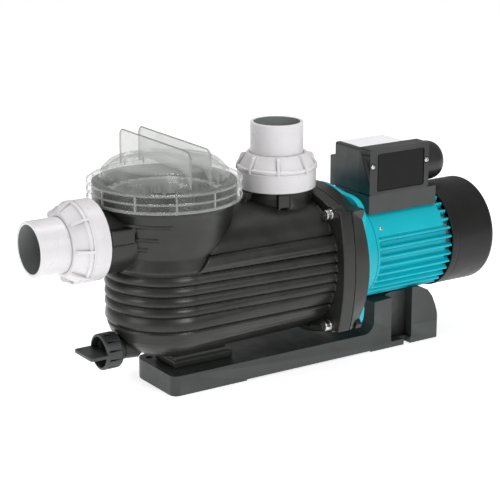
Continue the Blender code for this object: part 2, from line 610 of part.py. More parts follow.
def hydraulic_parts():
    centre = (0, 0, SHAFT_Z)
    front = CHAMBER_X + GAP
    diffuser = turned([(0.0277, front - 0.012), (0.0277, front), (0.0700, front), (0.0700, IMPELLER_X + 0.030),
                       (0.0640, IMPELLER_X + 0.030), (0.0640, IMPELLER_X + 0.001), (0.0300, front + 0.004),
                       (0.0240, front + 0.004), (0.0240, front - 0.012)], "X", centre, 32)
    ports = [turned_about(block((IMPELLER_X + 0.010, 0.055, -0.007), (IMPELLER_X + 0.026, 0.080, 0.007)), "X",
                          2 * math.pi * (k + 0.5) / 6, centre) for k in range(6)]
    finish("diffuser", combined(diffuser, cut=ports), "box_black")

    seat_x = IMPELLER_X + IMPELLER_WIDTH + 0.0188
    finish("seal_seat", tube(SHAFT_R + 0.0012, 0.0160, seat_x, seat_x + 0.0060, "X", centre, 20), "seal_ceramic")

    gasket_x = FLANGE_X + FLANGE_THICKNESS + GAP
    finish("flange_gasket", tube(CHAMBER_R + 0.001, CHAMBER_R + 0.0085, gasket_x, gasket_x + GASKET, "X", centre, 32),
           "rubber_black")

    plug = turned([(SHAFT_R + 0.0010, seat_x + 0.0063), (0.0163, seat_x + 0.0063), (0.0163, seat_x - 0.001),
                   (0.0220, seat_x - 0.001), (0.0240, seat_x + 0.007), (CHAMBER_R - 0.0012, seat_x + 0.012),
                   (CHAMBER_R - 0.0012, BRACKET_X + 0.004), (BRACKET_BORE_R, BRACKET_X + 0.004),
                   (BRACKET_BORE_R, seat_x + 0.0165),
                   (SHAFT_R + 0.0010, seat_x + 0.0115)], "X", centre, 32)
    holes = [rod(BOLT_R + GAP, BRACKET_X - 0.01, BRACKET_END_X + 0.01, "X", (0, y, z), 12) for y, z in bolt_places()]
    opening = rod(BRACKET_BORE_R, BRACKET_X - 0.01, BRACKET_END_X + 0.01, "X", centre, 32)
    upper_tab = ((0.0600, 0.0560), (0.0845, 0.0560), (0.0975, 0.0800), (0.0600, 0.0800))
    lower_tab = ((0.0600, -0.0600), (0.0800, -0.0610), (0.0920, -0.0740), (0.0900, -0.0795), (0.0600, -0.0850))
    tabs = [prism([(side * y, SHAFT_Z + z) for y, z in tab], BRACKET_END_X - 0.0090, BRACKET_END_X - 0.0004, "X")
            for tab in (upper_tab, lower_tab) for side in (-1, 1)]
    plate = combined(flange_plate(BRACKET_X, BRACKET_END_X, FLANGE_OUTLINE, REAR_OUTLINE), add=tabs,
                     cut=[opening] + holes)
    finish("motor_bracket", combined(plate, add=[plug]), "body_black")

    for number, (y, z) in enumerate(bolt_places(), 1):
        head = turned([(0, FLANGE_X - 0.0005), (0.0026, FLANGE_X - 0.0042), (0.0026, FLANGE_X - 0.0075),
                       (0.0060, FLANGE_X - 0.0085), (0.0068, FLANGE_X - 0.0078), (0.0068, FLANGE_X - GAP),
                       (BOLT_R, FLANGE_X - GAP), (BOLT_R, BOLT_END_X), (0, BOLT_END_X)], "X", (0, y, z), 12)
        finish(f"flange_bolt_{number}", head, "steel", (FLANGE_X, y, z))


# ---------------------------------------------------------------- motor
def shield_point(turn, fade):
    """The front shield's outline, an oval with an ear at each bolt; it flares in to the motor's round at fade 1."""
    half_width, half_height = SHIELD_OVAL
    oval = 1 / math.sqrt((math.cos(turn) / half_width) ** 2 + (math.sin(turn) / half_height) ** 2)
    ears = 0.0
    for quarter in range(4):
        away = (turn - math.pi * (0.25 + 0.5 * quarter) + math.pi) % (2 * math.pi) - math.pi
        ears += math.exp(-(away / SHIELD_EAR_SPREAD) ** 2)
    round_r = FIN_TIP_R - 0.0005
    radius = round_r + (oval + SHIELD_EAR * ears - round_r) * (1 - fade) ** 2.1
    return radius * math.cos(turn), SHAFT_Z + radius * math.sin(turn)


def motor_shells():
    centre = (0, 0, SHAFT_Z)
    segments, steps = 48, 5
    rim_x, foot_x = SHIELD_X + 0.0080, SHIELD_X + 0.0310
    rings = [(SHIELD_X, 0.0), (rim_x, 0.0)] + [(rim_x + (foot_x - rim_x) * k / steps, k / steps)
                                               for k in range(1, steps + 1)] + [(HOUSING_X - GAP, 1.0)]
    body = loft([across([shield_point(2 * math.pi * k / segments, fade) for k in range(segments)], x)
                 for x, fade in rings])
    hollow = rod(0.0600, SHIELD_X + 0.0265, HOUSING_X + 0.01, "X", centre, 28)
    front = rod(0.0560, SHIELD_X - 0.01, SHIELD_X + 0.008, "X", centre, 28)
    seat = rod(BEARING_R + GAP, SHIELD_X + 0.012, SHIELD_X + 0.03, "X", centre, 24)
    bore = rod(SHAFT_R + 0.001, SHIELD_X - 0.01, SHIELD_X + 0.03, "X", centre, 16)
    holes = [rod(BOLT_R + GAP, SHIELD_X - 0.01, BOLT_END_X + 0.0005, "X", (0, y, z), 12) for y, z in bolt_places()]
    finish("motor_front_shield", combined(body, cut=[hollow, front, seat, bore] + holes), "motor_turquoise")

    pitch = 2 * math.pi / HOUSING_FINS
    outline = []
    for k in range(HOUSING_FINS):
        for radius, turn in ((FIN_ROOT_R, -0.30), (FIN_TIP_R, -0.14), (FIN_TIP_R, 0.14), (FIN_ROOT_R, 0.30)):
            a = (k + turn) * pitch
            outline.append((radius * math.cos(a), SHAFT_Z + radius * math.sin(a)))
    ribs = prism(outline, HOUSING_X, HOUSING_END_X, "X")
    saddle = block((HOUSING_X + 0.0003, -0.034, SHAFT_Z + 0.040), (HOUSING_END_X - 0.002, 0.034, SHAFT_Z + 0.0690))
    bore = rod(HOUSING_BORE_R, HOUSING_X - 0.01, HOUSING_END_X + 0.01, "X", centre, 32)
    finish("motor_housing", combined(ribs, add=[saddle], cut=[bore]), "motor_turquoise")

    finish("stator_core", tube(AIR_GAP_R[1], HOUSING_BORE_R - GAP, *CORE_X, "X", centre, 28), "laminated_steel")
    for name, x0, x1 in (("front_winding", 0.1400, CORE_X[0] - GAP), ("rear_winding", CORE_X[1] + GAP, 0.2510)):
        winding = turned([(0.0400, x0), (0.0520, x0), (0.0550, x0 + 0.003), (0.0550, x1 - 0.001), (0.0520, x1),
                          (0.0370, x1)], "X", centre, 24)
        finish(name, winding, "copper")

    finish("front_bearing", tube(SHAFT_R + GAP, BEARING_R, SHIELD_X + 0.0123, SHIELD_X + 0.0243, "X", centre, 24),
           "steel")
    rear = HOUSING_END_X + GAP
    shield = turned([(SHAFT_R + 0.001, rear + 0.0125), (0.0250, rear + 0.0125), (0.0300, rear + 0.0060),
                     (0.0600, rear + 0.0050), (0.0620, rear), (0.0570, rear), (0.0570, rear - 0.0040),
                     (0.0540, rear - 0.0040), (0.0540, rear + 0.001), (0.0240, rear + 0.001), (0.0240, rear - 0.0060),
                     (BEARING_R + GAP, rear - 0.0060), (BEARING_R + GAP, rear + 0.0096),
                     (SHAFT_R + 0.001, rear + 0.0096)],
                    "X", centre, 28)
    finish("motor_rear_shield", shield, "cast_aluminium")
    finish("rear_bearing", tube(SHAFT_R + GAP, BEARING_R, rear - 0.0030, rear + 0.0090, "X", centre, 24), "steel")


def fan_cowl():
    centre = (0, 0, SHAFT_Z)
    inner = COWL_R - COWL_WALL
    shell = turned([(COWL_R, COWL_X), (COWL_R, COWL_END_X - 0.0080), (COWL_R - 0.0011, COWL_END_X - 0.0038),
                    (COWL_R - 0.0038, COWL_END_X - 0.0011), (COWL_R - 0.0080, COWL_END_X), (0, COWL_END_X),
                    (0, COWL_END_X - COWL_WALL), (inner - 0.0070, COWL_END_X - COWL_WALL),
                    (inner - 0.0020, COWL_END_X - 0.0045), (inner, COWL_END_X - 0.0090), (inner, COWL_X)],
                   "X", centre, 28)
    slots = [turned_about(block((COWL_END_X - 0.01, r0, -0.0028), (COWL_END_X + 0.01, r1, 0.0028)), "X",
                          2 * math.pi * k / 8, centre)
             for k in range(8) for r0, r1 in ((0.013, 0.030), (0.034, 0.052))]
    finish("fan_cowl", combined(shell, cut=slots), "box_black")


# ---------------------------------------------------------------- terminal box
def terminal_box():
    can_axis = (0, *CAPACITOR_AXIS)
    seat = rod(FIN_TIP_R + GAP, SKIRT_X[0] - 0.02, SKIRT_X[1] + 0.02, "X", (0, 0, SHAFT_Z), 48)
    saddle_gap = block((SKIRT_X[0] - 0.01, -0.0345, 0.15), (HOUSING_END_X + 0.02, 0.0345, SHAFT_Z + 0.0695))
    skirt = block((SKIRT_X[0], COVER_Y[0] + 0.001, SKIRT_Z[0]), (SKIRT_X[1], BOX_Y[1], SKIRT_Z[1]))
    upper = prism(rounded_rectangle((BOX_X[0], SKIRT_Z[1] - 0.004), (BOX_X[1], BOX_TOP_Z), 0.003, 2),
                  BOX_Y[0], BOX_Y[1], "Y")
    back = block((BOX_X[0] + 0.001, BOX_Y[1] - 0.004, 0.2130), (BOX_X[1] - 0.006, BOX_Y[1] + 0.0125, 0.2535))
    inside = block((BOX_X[0] + 0.003, BOX_Y[0] - 0.01, SKIRT_Z[1] + 0.002),
                   (BOX_X[1] - 0.003, BOX_Y[1] - 0.003, BOX_TOP_Z - 0.003))
    wire_way = rod(0.0065, BOX_X[1] - 0.01, BOX_X[1] + 0.01, "X", can_axis, 12)
    gland_hole = rod(0.0083, BOX_Y[1] - 0.01, BOX_Y[1] + 0.02, "Y", (GLAND_X, 0, GLAND_Z), 16)
    capacitor_seat = rod(CAPACITOR_R + 2 * GAP, BOX_X[1], SKIRT_X[1] + 0.01, "X", can_axis, 28)
    finish("terminal_box", combined(skirt, add=[upper, back],
                                    cut=[seat, saddle_gap, inside, wire_way, gland_hole, capacitor_seat]), "box_black")

    cover = prism(rounded_rectangle((COVER_X[0], SKIRT_Z[1] + GAP), (COVER_X[1], COVER_TOP_Z), 0.003, 2),
                  COVER_Y[0], COVER_Y[1], "Y")
    hollow = block((BOX_X[0] + 0.003, COVER_Y[0] + 0.005, SKIRT_Z[1] + 0.004),
                   (BOX_X[1] - 0.003, COVER_Y[1] + 0.01, BOX_TOP_Z - 0.003))
    (px0, px1), (pz0, pz1) = PANEL_X, PANEL_Z
    panel = block((px0, COVER_Y[0] - 0.01, pz0), (px1, COVER_Y[0] + PANEL_DEPTH, pz1))
    holes = [rod(0.0024, COVER_Y[0] - 0.01, COVER_Y[0] + 0.012, "Y", (x, 0, z), 12) for x, z in COVER_SCREWS]
    finish("terminal_cover", combined(cover, cut=[hollow, panel] + holes), "box_black")
    for number, (x, z) in enumerate(COVER_SCREWS, 1):
        screw = turned([(0, COVER_Y[0] - 0.0022), (0.0026, COVER_Y[0] - 0.0018), (0.0034, COVER_Y[0] - GAP),
                        (0.0021, COVER_Y[0] - GAP), (0.0021, COVER_Y[0] + 0.0100), (0, COVER_Y[0] + 0.0100)],
                       "Y", (x, 0, z), 12)
        finish(f"cover_screw_{number}", screw, "steel", (x, COVER_Y[0], z))
    plate = block((px0 + 0.0005, COVER_Y[0] + 0.0006, pz0 + 0.0005),
                  (px1 - 0.0005, COVER_Y[0] + PANEL_DEPTH - GAP, pz1 - 0.0005))
    finish("rating_plate", plate, "rubber_black")
    label = block((0.1415, -0.0205, BOX_TOP_Z + GAP), (0.2130, 0.0245, BOX_TOP_Z + 0.0011))
    finish("top_label", label, "label_white")
    finish("terminal_block", block((0.1550, 0.0000, SKIRT_Z[1] + 0.0023), (0.2000, 0.0180, SKIRT_Z[1] + 0.0160)),
           "label_white")

    x0, x1, r = BOX_X[1] + GAP, CAPACITOR_END_X, CAPACITOR_R
    wall = 0.0022
    cover = turned([(r, x0), (r, x1 - 0.0160), (r - 0.0022, x1 - 0.0080), (r - 0.0080, x1 - 0.0022), (r - 0.0160, x1),
                    (0, x1), (0, x1 - wall), (r - 0.0165, x1 - wall), (r - 0.0095, x1 - 0.0045),
                    (r - 0.0040, x1 - 0.0100), (r - wall, x1 - 0.0170), (r - wall, x0)], "X", can_axis, 28)
    finish("capacitor_cover", cover, "box_black")
    finish("capacitor", rod(0.0200, x0 + 0.003, x1 - 0.0095, "X", can_axis, 20), "cast_aluminium")
    gland = turned([(0.0045, BOX_Y[1] + 0.0128), (0.0125, BOX_Y[1] + 0.0128), (0.0125, BOX_Y[1] + 0.0190),
                    (0.0105, BOX_Y[1] + 0.0195), (0.0100, BOX_Y[1] + 0.0290), (0.0070, BOX_Y[1] + 0.0320),
                    (0.0045, BOX_Y[1] + 0.0320)], "Y", (GLAND_X, 0, GLAND_Z), 16)
    stem = tube(0.0045, 0.0080, BOX_Y[1] - 0.0020, BOX_Y[1] + 0.0140, "Y", (GLAND_X, 0, GLAND_Z), 16)
    finish("cable_gland", combined(gland, add=[stem]), "box_black")


# ---------------------------------------------------------------- base
def base():
    x0, x1 = BASE_X
    w = BASE_HALF_WIDTH
    inset = 0.003
    rings = []
    for z, shrink in ((0.0, 0.0015), (0.002, 0.0), (BASE_TOP_Z - inset, 0.0), (BASE_TOP_Z, inset)):
        corners = ((x1 - shrink, w - shrink, 0.008, 0), (x0 + shrink, w - shrink, 0.016, 1),
                   (x0 + shrink, -w + shrink, 0.006, 2), (x1 - shrink, -w + shrink, 0.008, 3))
        rings.append([])
        for x, y, r, quarter in corners:
            cx, cy = x - math.copysign(r, x - 0.05), y - math.copysign(r, y)
            for k in range(4):
                a = (quarter + k / 3) * math.pi / 2
                rings[-1].append(Vector((cx + r * math.cos(a), cy + r * math.sin(a), z)))
    plate = loft(rings)
    post_x = POT_X + 0.2915
    side = [(post_x - 0.014, 0.020), (post_x - 0.0045, 0.0285), (post_x, 0.0400), (post_x, 0.0685),
            (POT_X + 0.3205, 0.0700), (POT_X + 0.3560, 0.0790), (POT_X + 0.3700, 0.0765), (POT_X + 0.3820, 0.0710),
            (POT_X + 0.3940, 0.0520), (x1 - 0.0035, 0.0200), (x1 - 0.0035, 0.0100), (post_x, 0.0100)]
    cradle = prism(side, -w + 0.0005, w - 0.0005, "Y")
    motor_seat = rod(FIN_TIP_R + 0.0013, post_x - 0.05, x1 + 0.05, "X", (0, 0, SHAFT_Z), 48)
    cuts = [motor_seat]
    turns = [math.pi / 2 * k / 5 for k in range(6)]
    for s in (-1, 1):
        corner = [(x1 - BASE_REAR_R * (1 - math.cos(a)), s * (w - BASE_REAR_R * (1 - math.sin(a)))) for a in turns]
        outside = [(x1 - BASE_REAR_R, s * (w + 0.01)), (x1 + 0.01, s * (w + 0.01)), (x1 + 0.01, s * (w - BASE_REAR_R))]
        cuts.append(prism(corner + outside, -0.01, 0.12))
        y0, y1 = sorted((s * (w - 0.016), s * (w + 0.01)))
        cuts.append(block((POT_X + 0.3205, y0, 0.0070), (POT_X + 0.3550, y1, 0.12)))
        slot = sorted((s * (w - 0.014), s * (w + 0.01)))
        cuts.append(block((POT_X + 0.3430, slot[0], -0.01), (POT_X + 0.3530, slot[1], 0.02)))
        cuts.append(rod(0.0045, -0.01, 0.05, "Z", (x0 + 0.013, s * 0.033, 0), 14))
    cuts.append(block((POT_X + 0.089, -w - 0.01, -0.01), (POT_X + 0.287, w + 0.01, 0.0016)))
    for a, b in ((x0 + 0.026, POT_X + 0.055), (POT_X + 0.061, POT_X + 0.168), (POT_X + 0.174, POT_X + 0.286)):
        cuts.append(block((a, -w + 0.006, -0.01), (b, w - 0.006, BASE_TOP_Z - 0.005)))
    finish("base", combined(plate, add=[cradle], cut=cuts), "box_black")


def main():
    clear_scene()
    pump_body()
    strainer_lid()
    strainer_basket()
    for side in ("inlet", "outlet"):
        union_parts(side)
    drain_plug()
    hydraulic_parts()
    shaft_line()
    motor_shells()
    fan_cowl()
    terminal_box()
    base()


main()
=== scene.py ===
"""Studio view of a pool pump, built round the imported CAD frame. Everything is in metres, +Z up."""

import math

import bmesh
import bpy
from mathutils import Matrix, Vector


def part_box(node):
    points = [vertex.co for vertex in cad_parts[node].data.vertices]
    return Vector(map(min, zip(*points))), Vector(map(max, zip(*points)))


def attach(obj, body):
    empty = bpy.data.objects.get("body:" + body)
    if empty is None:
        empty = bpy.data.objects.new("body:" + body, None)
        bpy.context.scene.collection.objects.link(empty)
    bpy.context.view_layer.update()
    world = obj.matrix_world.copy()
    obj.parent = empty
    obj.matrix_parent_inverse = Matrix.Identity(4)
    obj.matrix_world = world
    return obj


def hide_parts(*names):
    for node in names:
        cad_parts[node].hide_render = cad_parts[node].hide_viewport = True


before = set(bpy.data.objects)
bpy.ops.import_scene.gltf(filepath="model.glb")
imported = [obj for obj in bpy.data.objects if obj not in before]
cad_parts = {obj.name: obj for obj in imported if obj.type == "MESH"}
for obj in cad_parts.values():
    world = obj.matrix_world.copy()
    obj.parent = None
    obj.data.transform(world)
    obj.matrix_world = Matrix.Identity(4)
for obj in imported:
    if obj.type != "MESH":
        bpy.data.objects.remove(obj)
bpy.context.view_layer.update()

# ---------------------------------------------------------------- places, read from the frame


def middle(node):
    low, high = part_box(node)
    return [(a + b) / 2 for a, b in zip(low, high)]


def low(node, axis):
    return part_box(node)[0]["xyz".index(axis)]


def high(node, axis):
    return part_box(node)[1]["xyz".index(axis)]


GAP = 0.0003  # left between pieces that touch
OVER = 0.01  # how far a cutting tool runs past the surface it cuts
FLANGE_DEPTH = 0.0180
PORT_DEPTH = 0.0598  # from a union's open end to the end of its port

SHAFT_Z = middle("motor_shaft")[2]
POT_X = middle("strainer_lid")[0]
INLET_Z = middle("inlet_tail")[2]
OUTLET_X = middle("outlet_tail")[0]
DRAIN_Z = middle("drain_plug")[2]
INLET_END = low("inlet_tail", "x")
OUTLET_END = high("outlet_tail", "z")
FLANGE_END = low("flange_gasket", "x") - GAP
FLANGE_X = FLANGE_END - FLANGE_DEPTH
BRACKET_X = high("flange_gasket", "x") + GAP
BRACKET_END = high("motor_bracket", "x")
SHIELD_X = low("motor_front_shield", "x")
HOUSING_X = low("motor_housing", "x")
HOUSING_END = high("motor_housing", "x")
COWL_X = low("fan_cowl", "x")
COWL_END = high("fan_cowl", "x") + 0.0020
COLLAR_Z = low("strainer_lid", "z")
FIN_TOP = high("strainer_lid", "z")
BASE_X = (low("base", "x"), high("base", "x"))
BASE_W = high("base", "y")
BASE_TOP = 0.0260
LID_R = 0.0945
MOTOR_R = 0.0695
PORT_R = 0.0432
PORT_BORE_R = 0.0260
BOLT_HOLE_R = 0.0043
BOLTS = [middle(f"flange_bolt_{n}") for n in range(1, 5)]


# ---------------------------------------------------------------- materials
class Nodes:
    """Shorthand for building one node material."""

    def __init__(self, name):
        self.material = bpy.data.materials.new(name)
        self.material.use_nodes = True
        self.tree = self.material.node_tree
        self.shader = self.tree.nodes["Principled BSDF"]
        self.place = self.add("ShaderNodeTexCoord").outputs["Object"]

    def add(self, kind, **settings):
        node = self.tree.nodes.new(kind)
        for key, value in settings.items():
            if key in node.inputs:
                node.inputs[key].default_value = value
            else:
                setattr(node, key, value)
        return node

    def join(self, source, target):
        self.tree.links.new(source, target)

    def noise(self, scale, detail=4.0, roughness=0.55, stretch=None):
        node = self.add("ShaderNodeTexNoise", Scale=scale, Detail=detail, Roughness=roughness)
        place = self.place
        if stretch:
            mapping = self.add("ShaderNodeMapping", Scale=stretch)
            self.join(place, mapping.inputs["Vector"])
            place = mapping.outputs["Vector"]
        self.join(place, node.inputs["Vector"])
        return node.outputs["Fac"]

    def ramp(self, source, low_value, high_value, start=0.35, end=0.65):
        node = self.add("ShaderNodeMapRange")
        node.inputs["From Min"].default_value = start
        node.inputs["From Max"].default_value = end
        node.inputs["To Min"].default_value = low_value
        node.inputs["To Max"].default_value = high_value
        self.join(source, node.inputs["Value"])
        return node.outputs["Result"]

    def arithmetic(self, operation, first, second):
        node = self.add("ShaderNodeMath", operation=operation)
        for socket, value in zip(node.inputs, (first, second)):
            if hasattr(value, "links"):
                self.join(value, socket)
            else:
                socket.default_value = value
        return node.outputs["Value"]

    def power(self, source, exponent):
        return self.arithmetic("POWER", source, exponent)

    def sum(self, first, second):
        return self.arithmetic("ADD", first, second)

    def blend(self, factor, first, second):
        node = self.add("ShaderNodeMix", data_type="RGBA")
        self.join(factor, node.inputs["Factor"])
        for socket, value in (("A", first), ("B", second)):
            target = [s for s in node.inputs if s.name == socket and s.type == "RGBA"][0]
            if isinstance(value, tuple):
                target.default_value = (*value, 1.0)
            else:
                self.join(value, target)
        return [s for s in node.outputs if s.type == "RGBA"][0]

    def bump(self, height, strength, distance, before=None):
        node = self.add("ShaderNodeBump", Strength=strength, Distance=distance)
        self.join(height, node.inputs["Height"])
        if before:
            self.join(before, node.inputs["Normal"])
        return node.outputs["Normal"]

    def set(self, name, value):
        socket = self.shader.inputs[name]
        if hasattr(value, "links"):
            self.join(value, socket)
        else:
            socket.default_value = value


def moulded_plastic(name, dark, light, roughness=(0.34, 0.48), grain=900.0, grain_depth=0.00006,
                    specular=0.5):
    """Injection-moulded plastic: a faint mottle, satin patches, a fine grain, a painted highlight on convex
    edges and painted shade in hollows.
    """
    n = Nodes(name)
    mottle = n.ramp(n.noise(22.0, 3.0), 0.0, 1.0)
    colour = n.blend(mottle, dark, light)
    edge = n.add("ShaderNodeNewGeometry").outputs["Pointiness"]
    # painted highlight: the colour is lightened on convex edges
    painted_edge_highlight = n.ramp(edge, 0.0, 0.35, 0.53, 0.62)
    colour = n.blend(painted_edge_highlight, colour, tuple(min(1.0, c * 2.2 + 0.012) for c in light))
    # painted shade: hollows and creases are darkened in the colour, and the same mask takes their gloss away
    hollow = n.ramp(edge, 0.0, 1.0, 0.455, 0.497)
    n.set("Base Color", n.blend(hollow, tuple(c * 0.25 for c in dark), colour))
    n.set("Roughness", n.ramp(n.noise(60.0, 5.0), *roughness))
    n.set("Specular IOR Level", n.arithmetic("MULTIPLY", hollow, specular))
    coarse = n.bump(n.noise(140.0, 3.0), 0.10, 0.0004)
    n.set("Normal", n.bump(n.noise(grain, 2.0), 0.35, grain_depth, coarse))
    return n.material


def white_pvc():
    """White pressure-pipe plastic, a little translucent, with painted shade in its creases."""
    n = Nodes("white_pvc_look")
    mottle = n.ramp(n.noise(30.0, 3.0), 0.0, 1.0)
    colour = n.blend(mottle, (0.63, 0.615, 0.627), (0.67, 0.655, 0.667))
    edge = n.add("ShaderNodeNewGeometry").outputs["Pointiness"]
    # painted shade: creases are darkened to grey in the colour
    n.set("Base Color", n.blend(n.ramp(edge, 0.0, 1.0, 0.40, 0.497), (0.26, 0.25, 0.255), colour))
    n.set("Roughness", n.ramp(n.noise(90.0, 4.0), 0.26, 0.38))
    n.set("Subsurface Weight", 0.12)
    n.set("Subsurface Radius", (0.006, 0.005, 0.005))
    n.set("Subsurface Scale", 0.5)
    n.set("Normal", n.bump(n.noise(220.0, 2.0), 0.06, 0.0003))
    return n.material


def clear_plastic(name, tint, square_on, at_a_slant, falloff):
    """Clear moulding: seen through square on, milky and bright at a slant."""
    n = Nodes(name)
    slant = n.add("ShaderNodeLayerWeight", Blend=0.5).outputs["Facing"]
    veil = n.ramp(n.power(slant, falloff), square_on, at_a_slant, 0.0, 1.0)
    n.set("Alpha", n.sum(veil, n.ramp(n.noise(34.0, 3.0), -0.015, 0.03)))
    n.set("Base Color", n.blend(n.ramp(n.noise(25.0, 3.0), 0.0, 1.0), tuple(c * 0.88 for c in tint), tint))
    n.set("Roughness", n.ramp(n.noise(45.0, 4.0), 0.05, 0.14))
    n.set("Specular IOR Level", 0.8)
    n.set("Coat Weight", 1.0)
    n.set("Coat Roughness", 0.03)
    n.set("Normal", n.bump(n.noise(38.0, 2.0), 0.10, 0.0010))
    return n.material


def motor_paint():
    """Turquoise enamel on a cast housing: orange peel, a slight cloudiness and painted shade in the valleys.
    """
    n = Nodes("motor_turquoise_look")
    cloud = n.ramp(n.noise(18.0, 3.0), 0.0, 1.0)
    colour = n.blend(cloud, (0.0, 0.385, 0.465), (0.0, 0.430, 0.515))
    edge = n.add("ShaderNodeNewGeometry").outputs["Pointiness"]
    # painted shade: the paint is darkened in concave valleys
    colour = n.blend(n.ramp(edge, 1.0, 0.0, 0.42, 0.50), colour, (0.0, 0.31, 0.40))
    n.set("Base Color", colour)
    n.set("Roughness", n.ramp(n.noise(70.0, 4.0), 0.33, 0.45))
    n.set("Specular IOR Level", 0.30)
    n.set("Coat Weight", 0.08)
    n.set("Coat Roughness", 0.25)
    peel = n.bump(n.noise(330.0, 2.0), 0.14, 0.00025)
    n.set("Normal", n.bump(n.noise(60.0, 3.0), 0.10, 0.0006, peel))
    return n.material


def metal(name, colour, roughness=(0.22, 0.38), stretch=(1.0, 1.0, 1.0), grain=500.0):
    """Bare metal with a fine uneven wear."""
    n = Nodes(name)
    n.set("Metallic", 1.0)
    wear = n.ramp(n.noise(grain, 4.0, stretch=stretch), 0.0, 1.0)
    n.set("Base Color", n.blend(wear, tuple(c * 0.82 for c in colour), colour))
    n.set("Roughness", n.ramp(n.noise(grain * 0.6, 4.0, stretch=stretch), *roughness))
    n.set("Normal", n.bump(wear, 0.10, 0.0001))
    return n.material


def windings():
    """Varnished copper wire, its turns running round the shaft."""
    n = Nodes("copper_look")
    wave = n.add("ShaderNodeTexWave", Scale=330.0, Distortion=1.2)
    n.join(n.place, wave.inputs["Vector"])
    n.set("Base Color", n.blend(wave.outputs["Fac"], (0.30, 0.10, 0.03), (0.72, 0.33, 0.13)))
    n.set("Metallic", 0.8)
    n.set("Roughness", 0.35)
    n.set("Normal", n.bump(wave.outputs["Fac"], 0.5, 0.0004))
    return n.material


def laminations():
    """Stacked steel sheets, seen on edge."""
    n = Nodes("laminated_steel_look")
    wave = n.add("ShaderNodeTexWave", Scale=420.0, Distortion=0.1, bands_direction="X")
    n.join(n.place, wave.inputs["Vector"])
    n.set("Base Color", n.blend(wave.outputs["Fac"], (0.16, 0.16, 0.17), (0.42, 0.42, 0.43)))
    n.set("Metallic", 1.0)
    n.set("Roughness", 0.42)
    n.set("Normal", n.bump(wave.outputs["Fac"], 0.4, 0.0003))
    return n.material


BLACK = moulded_plastic("body_black_look", (0.0110, 0.0116, 0.0099), (0.0190, 0.0208, 0.0172), (0.28, 0.38),
                        specular=0.40)
BASE_BLACK = moulded_plastic("base_black_look", (0.021, 0.0248, 0.0225), (0.031, 0.0365, 0.0332),
                             (0.36, 0.48), 1000.0)
BOX_BLACK = moulded_plastic("box_black_look", (0.0170, 0.0197, 0.0180), (0.0225, 0.0260, 0.0240),
                            (0.30, 0.40), 1300.0, specular=0.60)
COVER_BLACK = moulded_plastic("cover_black_look", (0.0090, 0.0104, 0.0094), (0.0130, 0.0148, 0.0136),
                              (0.32, 0.42), 1300.0, specular=0.50)
COWL_BLACK = moulded_plastic("cowl_black_look", (0.0065, 0.0065, 0.0062), (0.0095, 0.0095, 0.0090),
                             (0.34, 0.44), 1100.0, specular=0.28)
BASKET = moulded_plastic("basket_grey_look", (0.30, 0.32, 0.30), (0.38, 0.39, 0.37), (0.40, 0.55))
RUBBER = moulded_plastic("rubber_look", (0.010, 0.010, 0.010), (0.016, 0.016, 0.016), (0.50, 0.70), 1500.0)
LABEL = moulded_plastic("label_look", (0.80, 0.80, 0.83), (0.86, 0.86, 0.88), (0.35, 0.45), 1500.0, 0.00002)
PLATE = moulded_plastic("plate_look", (0.0025, 0.0025, 0.0025), (0.0045, 0.0045, 0.0045), (0.30, 0.40),
                        1500.0, 0.00002, specular=0.12)
CERAMIC = moulded_plastic("ceramic_look", (0.82, 0.80, 0.76), (0.88, 0.87, 0.83), (0.15, 0.25))
PVC = white_pvc()
# painted shade: a grey copy of the pipe plastic for the shadowed bores of the white union tails
BORE_PAINTED_SHADE = moulded_plastic("pipe_bore_painted_shade_look", (0.20, 0.215, 0.21), (0.25, 0.265, 0.26), (0.45, 0.60))
CLEAR = clear_plastic("clear_lid_look", (0.66, 0.69, 0.66), 0.02, 0.52, 3.4)
# painted highlight: a more opaque copy of the clear plastic, so that the collar's rings and ribs read as
# bright lines
CLEAR_RIDGE_HIGHLIGHT = clear_plastic("clear_ridge_highlight_look", (0.50, 0.52, 0.50), 0.30, 0.80, 2.0)
CLEAR_FIN = clear_plastic("clear_fin_look", (0.60, 0.62, 0.59), 0.13, 0.66, 1.2)
CLEAR_DOME = clear_plastic("clear_dome_look", (0.62, 0.64, 0.61), 0.12, 0.66, 1.9)
# painted shade: a dark, nearly opaque copy of the clear plastic for the fins' edges
CLEAR_FIN_EDGE_SHADE = clear_plastic("clear_fin_edge_shade_look", (0.20, 0.21, 0.20), 0.66, 0.92, 1.2)
TURQUOISE = motor_paint()
STEEL = metal("steel_look", (0.68, 0.67, 0.65), (0.16, 0.32))
CAST = metal("cast_aluminium_look", (0.60, 0.61, 0.62), (0.38, 0.55), grain=260.0)
COPPER = windings()
LAMINATED = laminations()


# ---------------------------------------------------------------- shapes
def soften(points, radius=0.001, steps=3, closed=True):
    """Rounds an outline's corners; a corner may carry its own radius as a third number."""
    count = len(points)
    result = []
    for i, point in enumerate(points):
        here = Vector(point[:2])
        size = point[2] if len(point) > 2 else radius
        if not closed and i in (0, count - 1) or size <= 0:
            result.append(tuple(here))
            continue
        before, after = Vector(points[i - 1][:2]), Vector(points[(i + 1) % count][:2])
        into, out = before - here, after - here
        start = here + into.normalized() * min(size, into.length * 0.45)
        end = here + out.normalized() * min(size, out.length * 0.45)
        for k in range(steps + 1):
            t = k / steps
            result.append(tuple(start * (1 - t) ** 2 + here * 2 * t * (1 - t) + end * t ** 2))
    return result


def axis_point(axis, radius, angle, along, centre):
    c, s = radius * math.cos(angle), radius * math.sin(angle)
    offset = {"Z": (c, s, along), "X": (along, c, s), "Y": (s, along, c)}[axis]
    return Vector(centre) + Vector(offset)


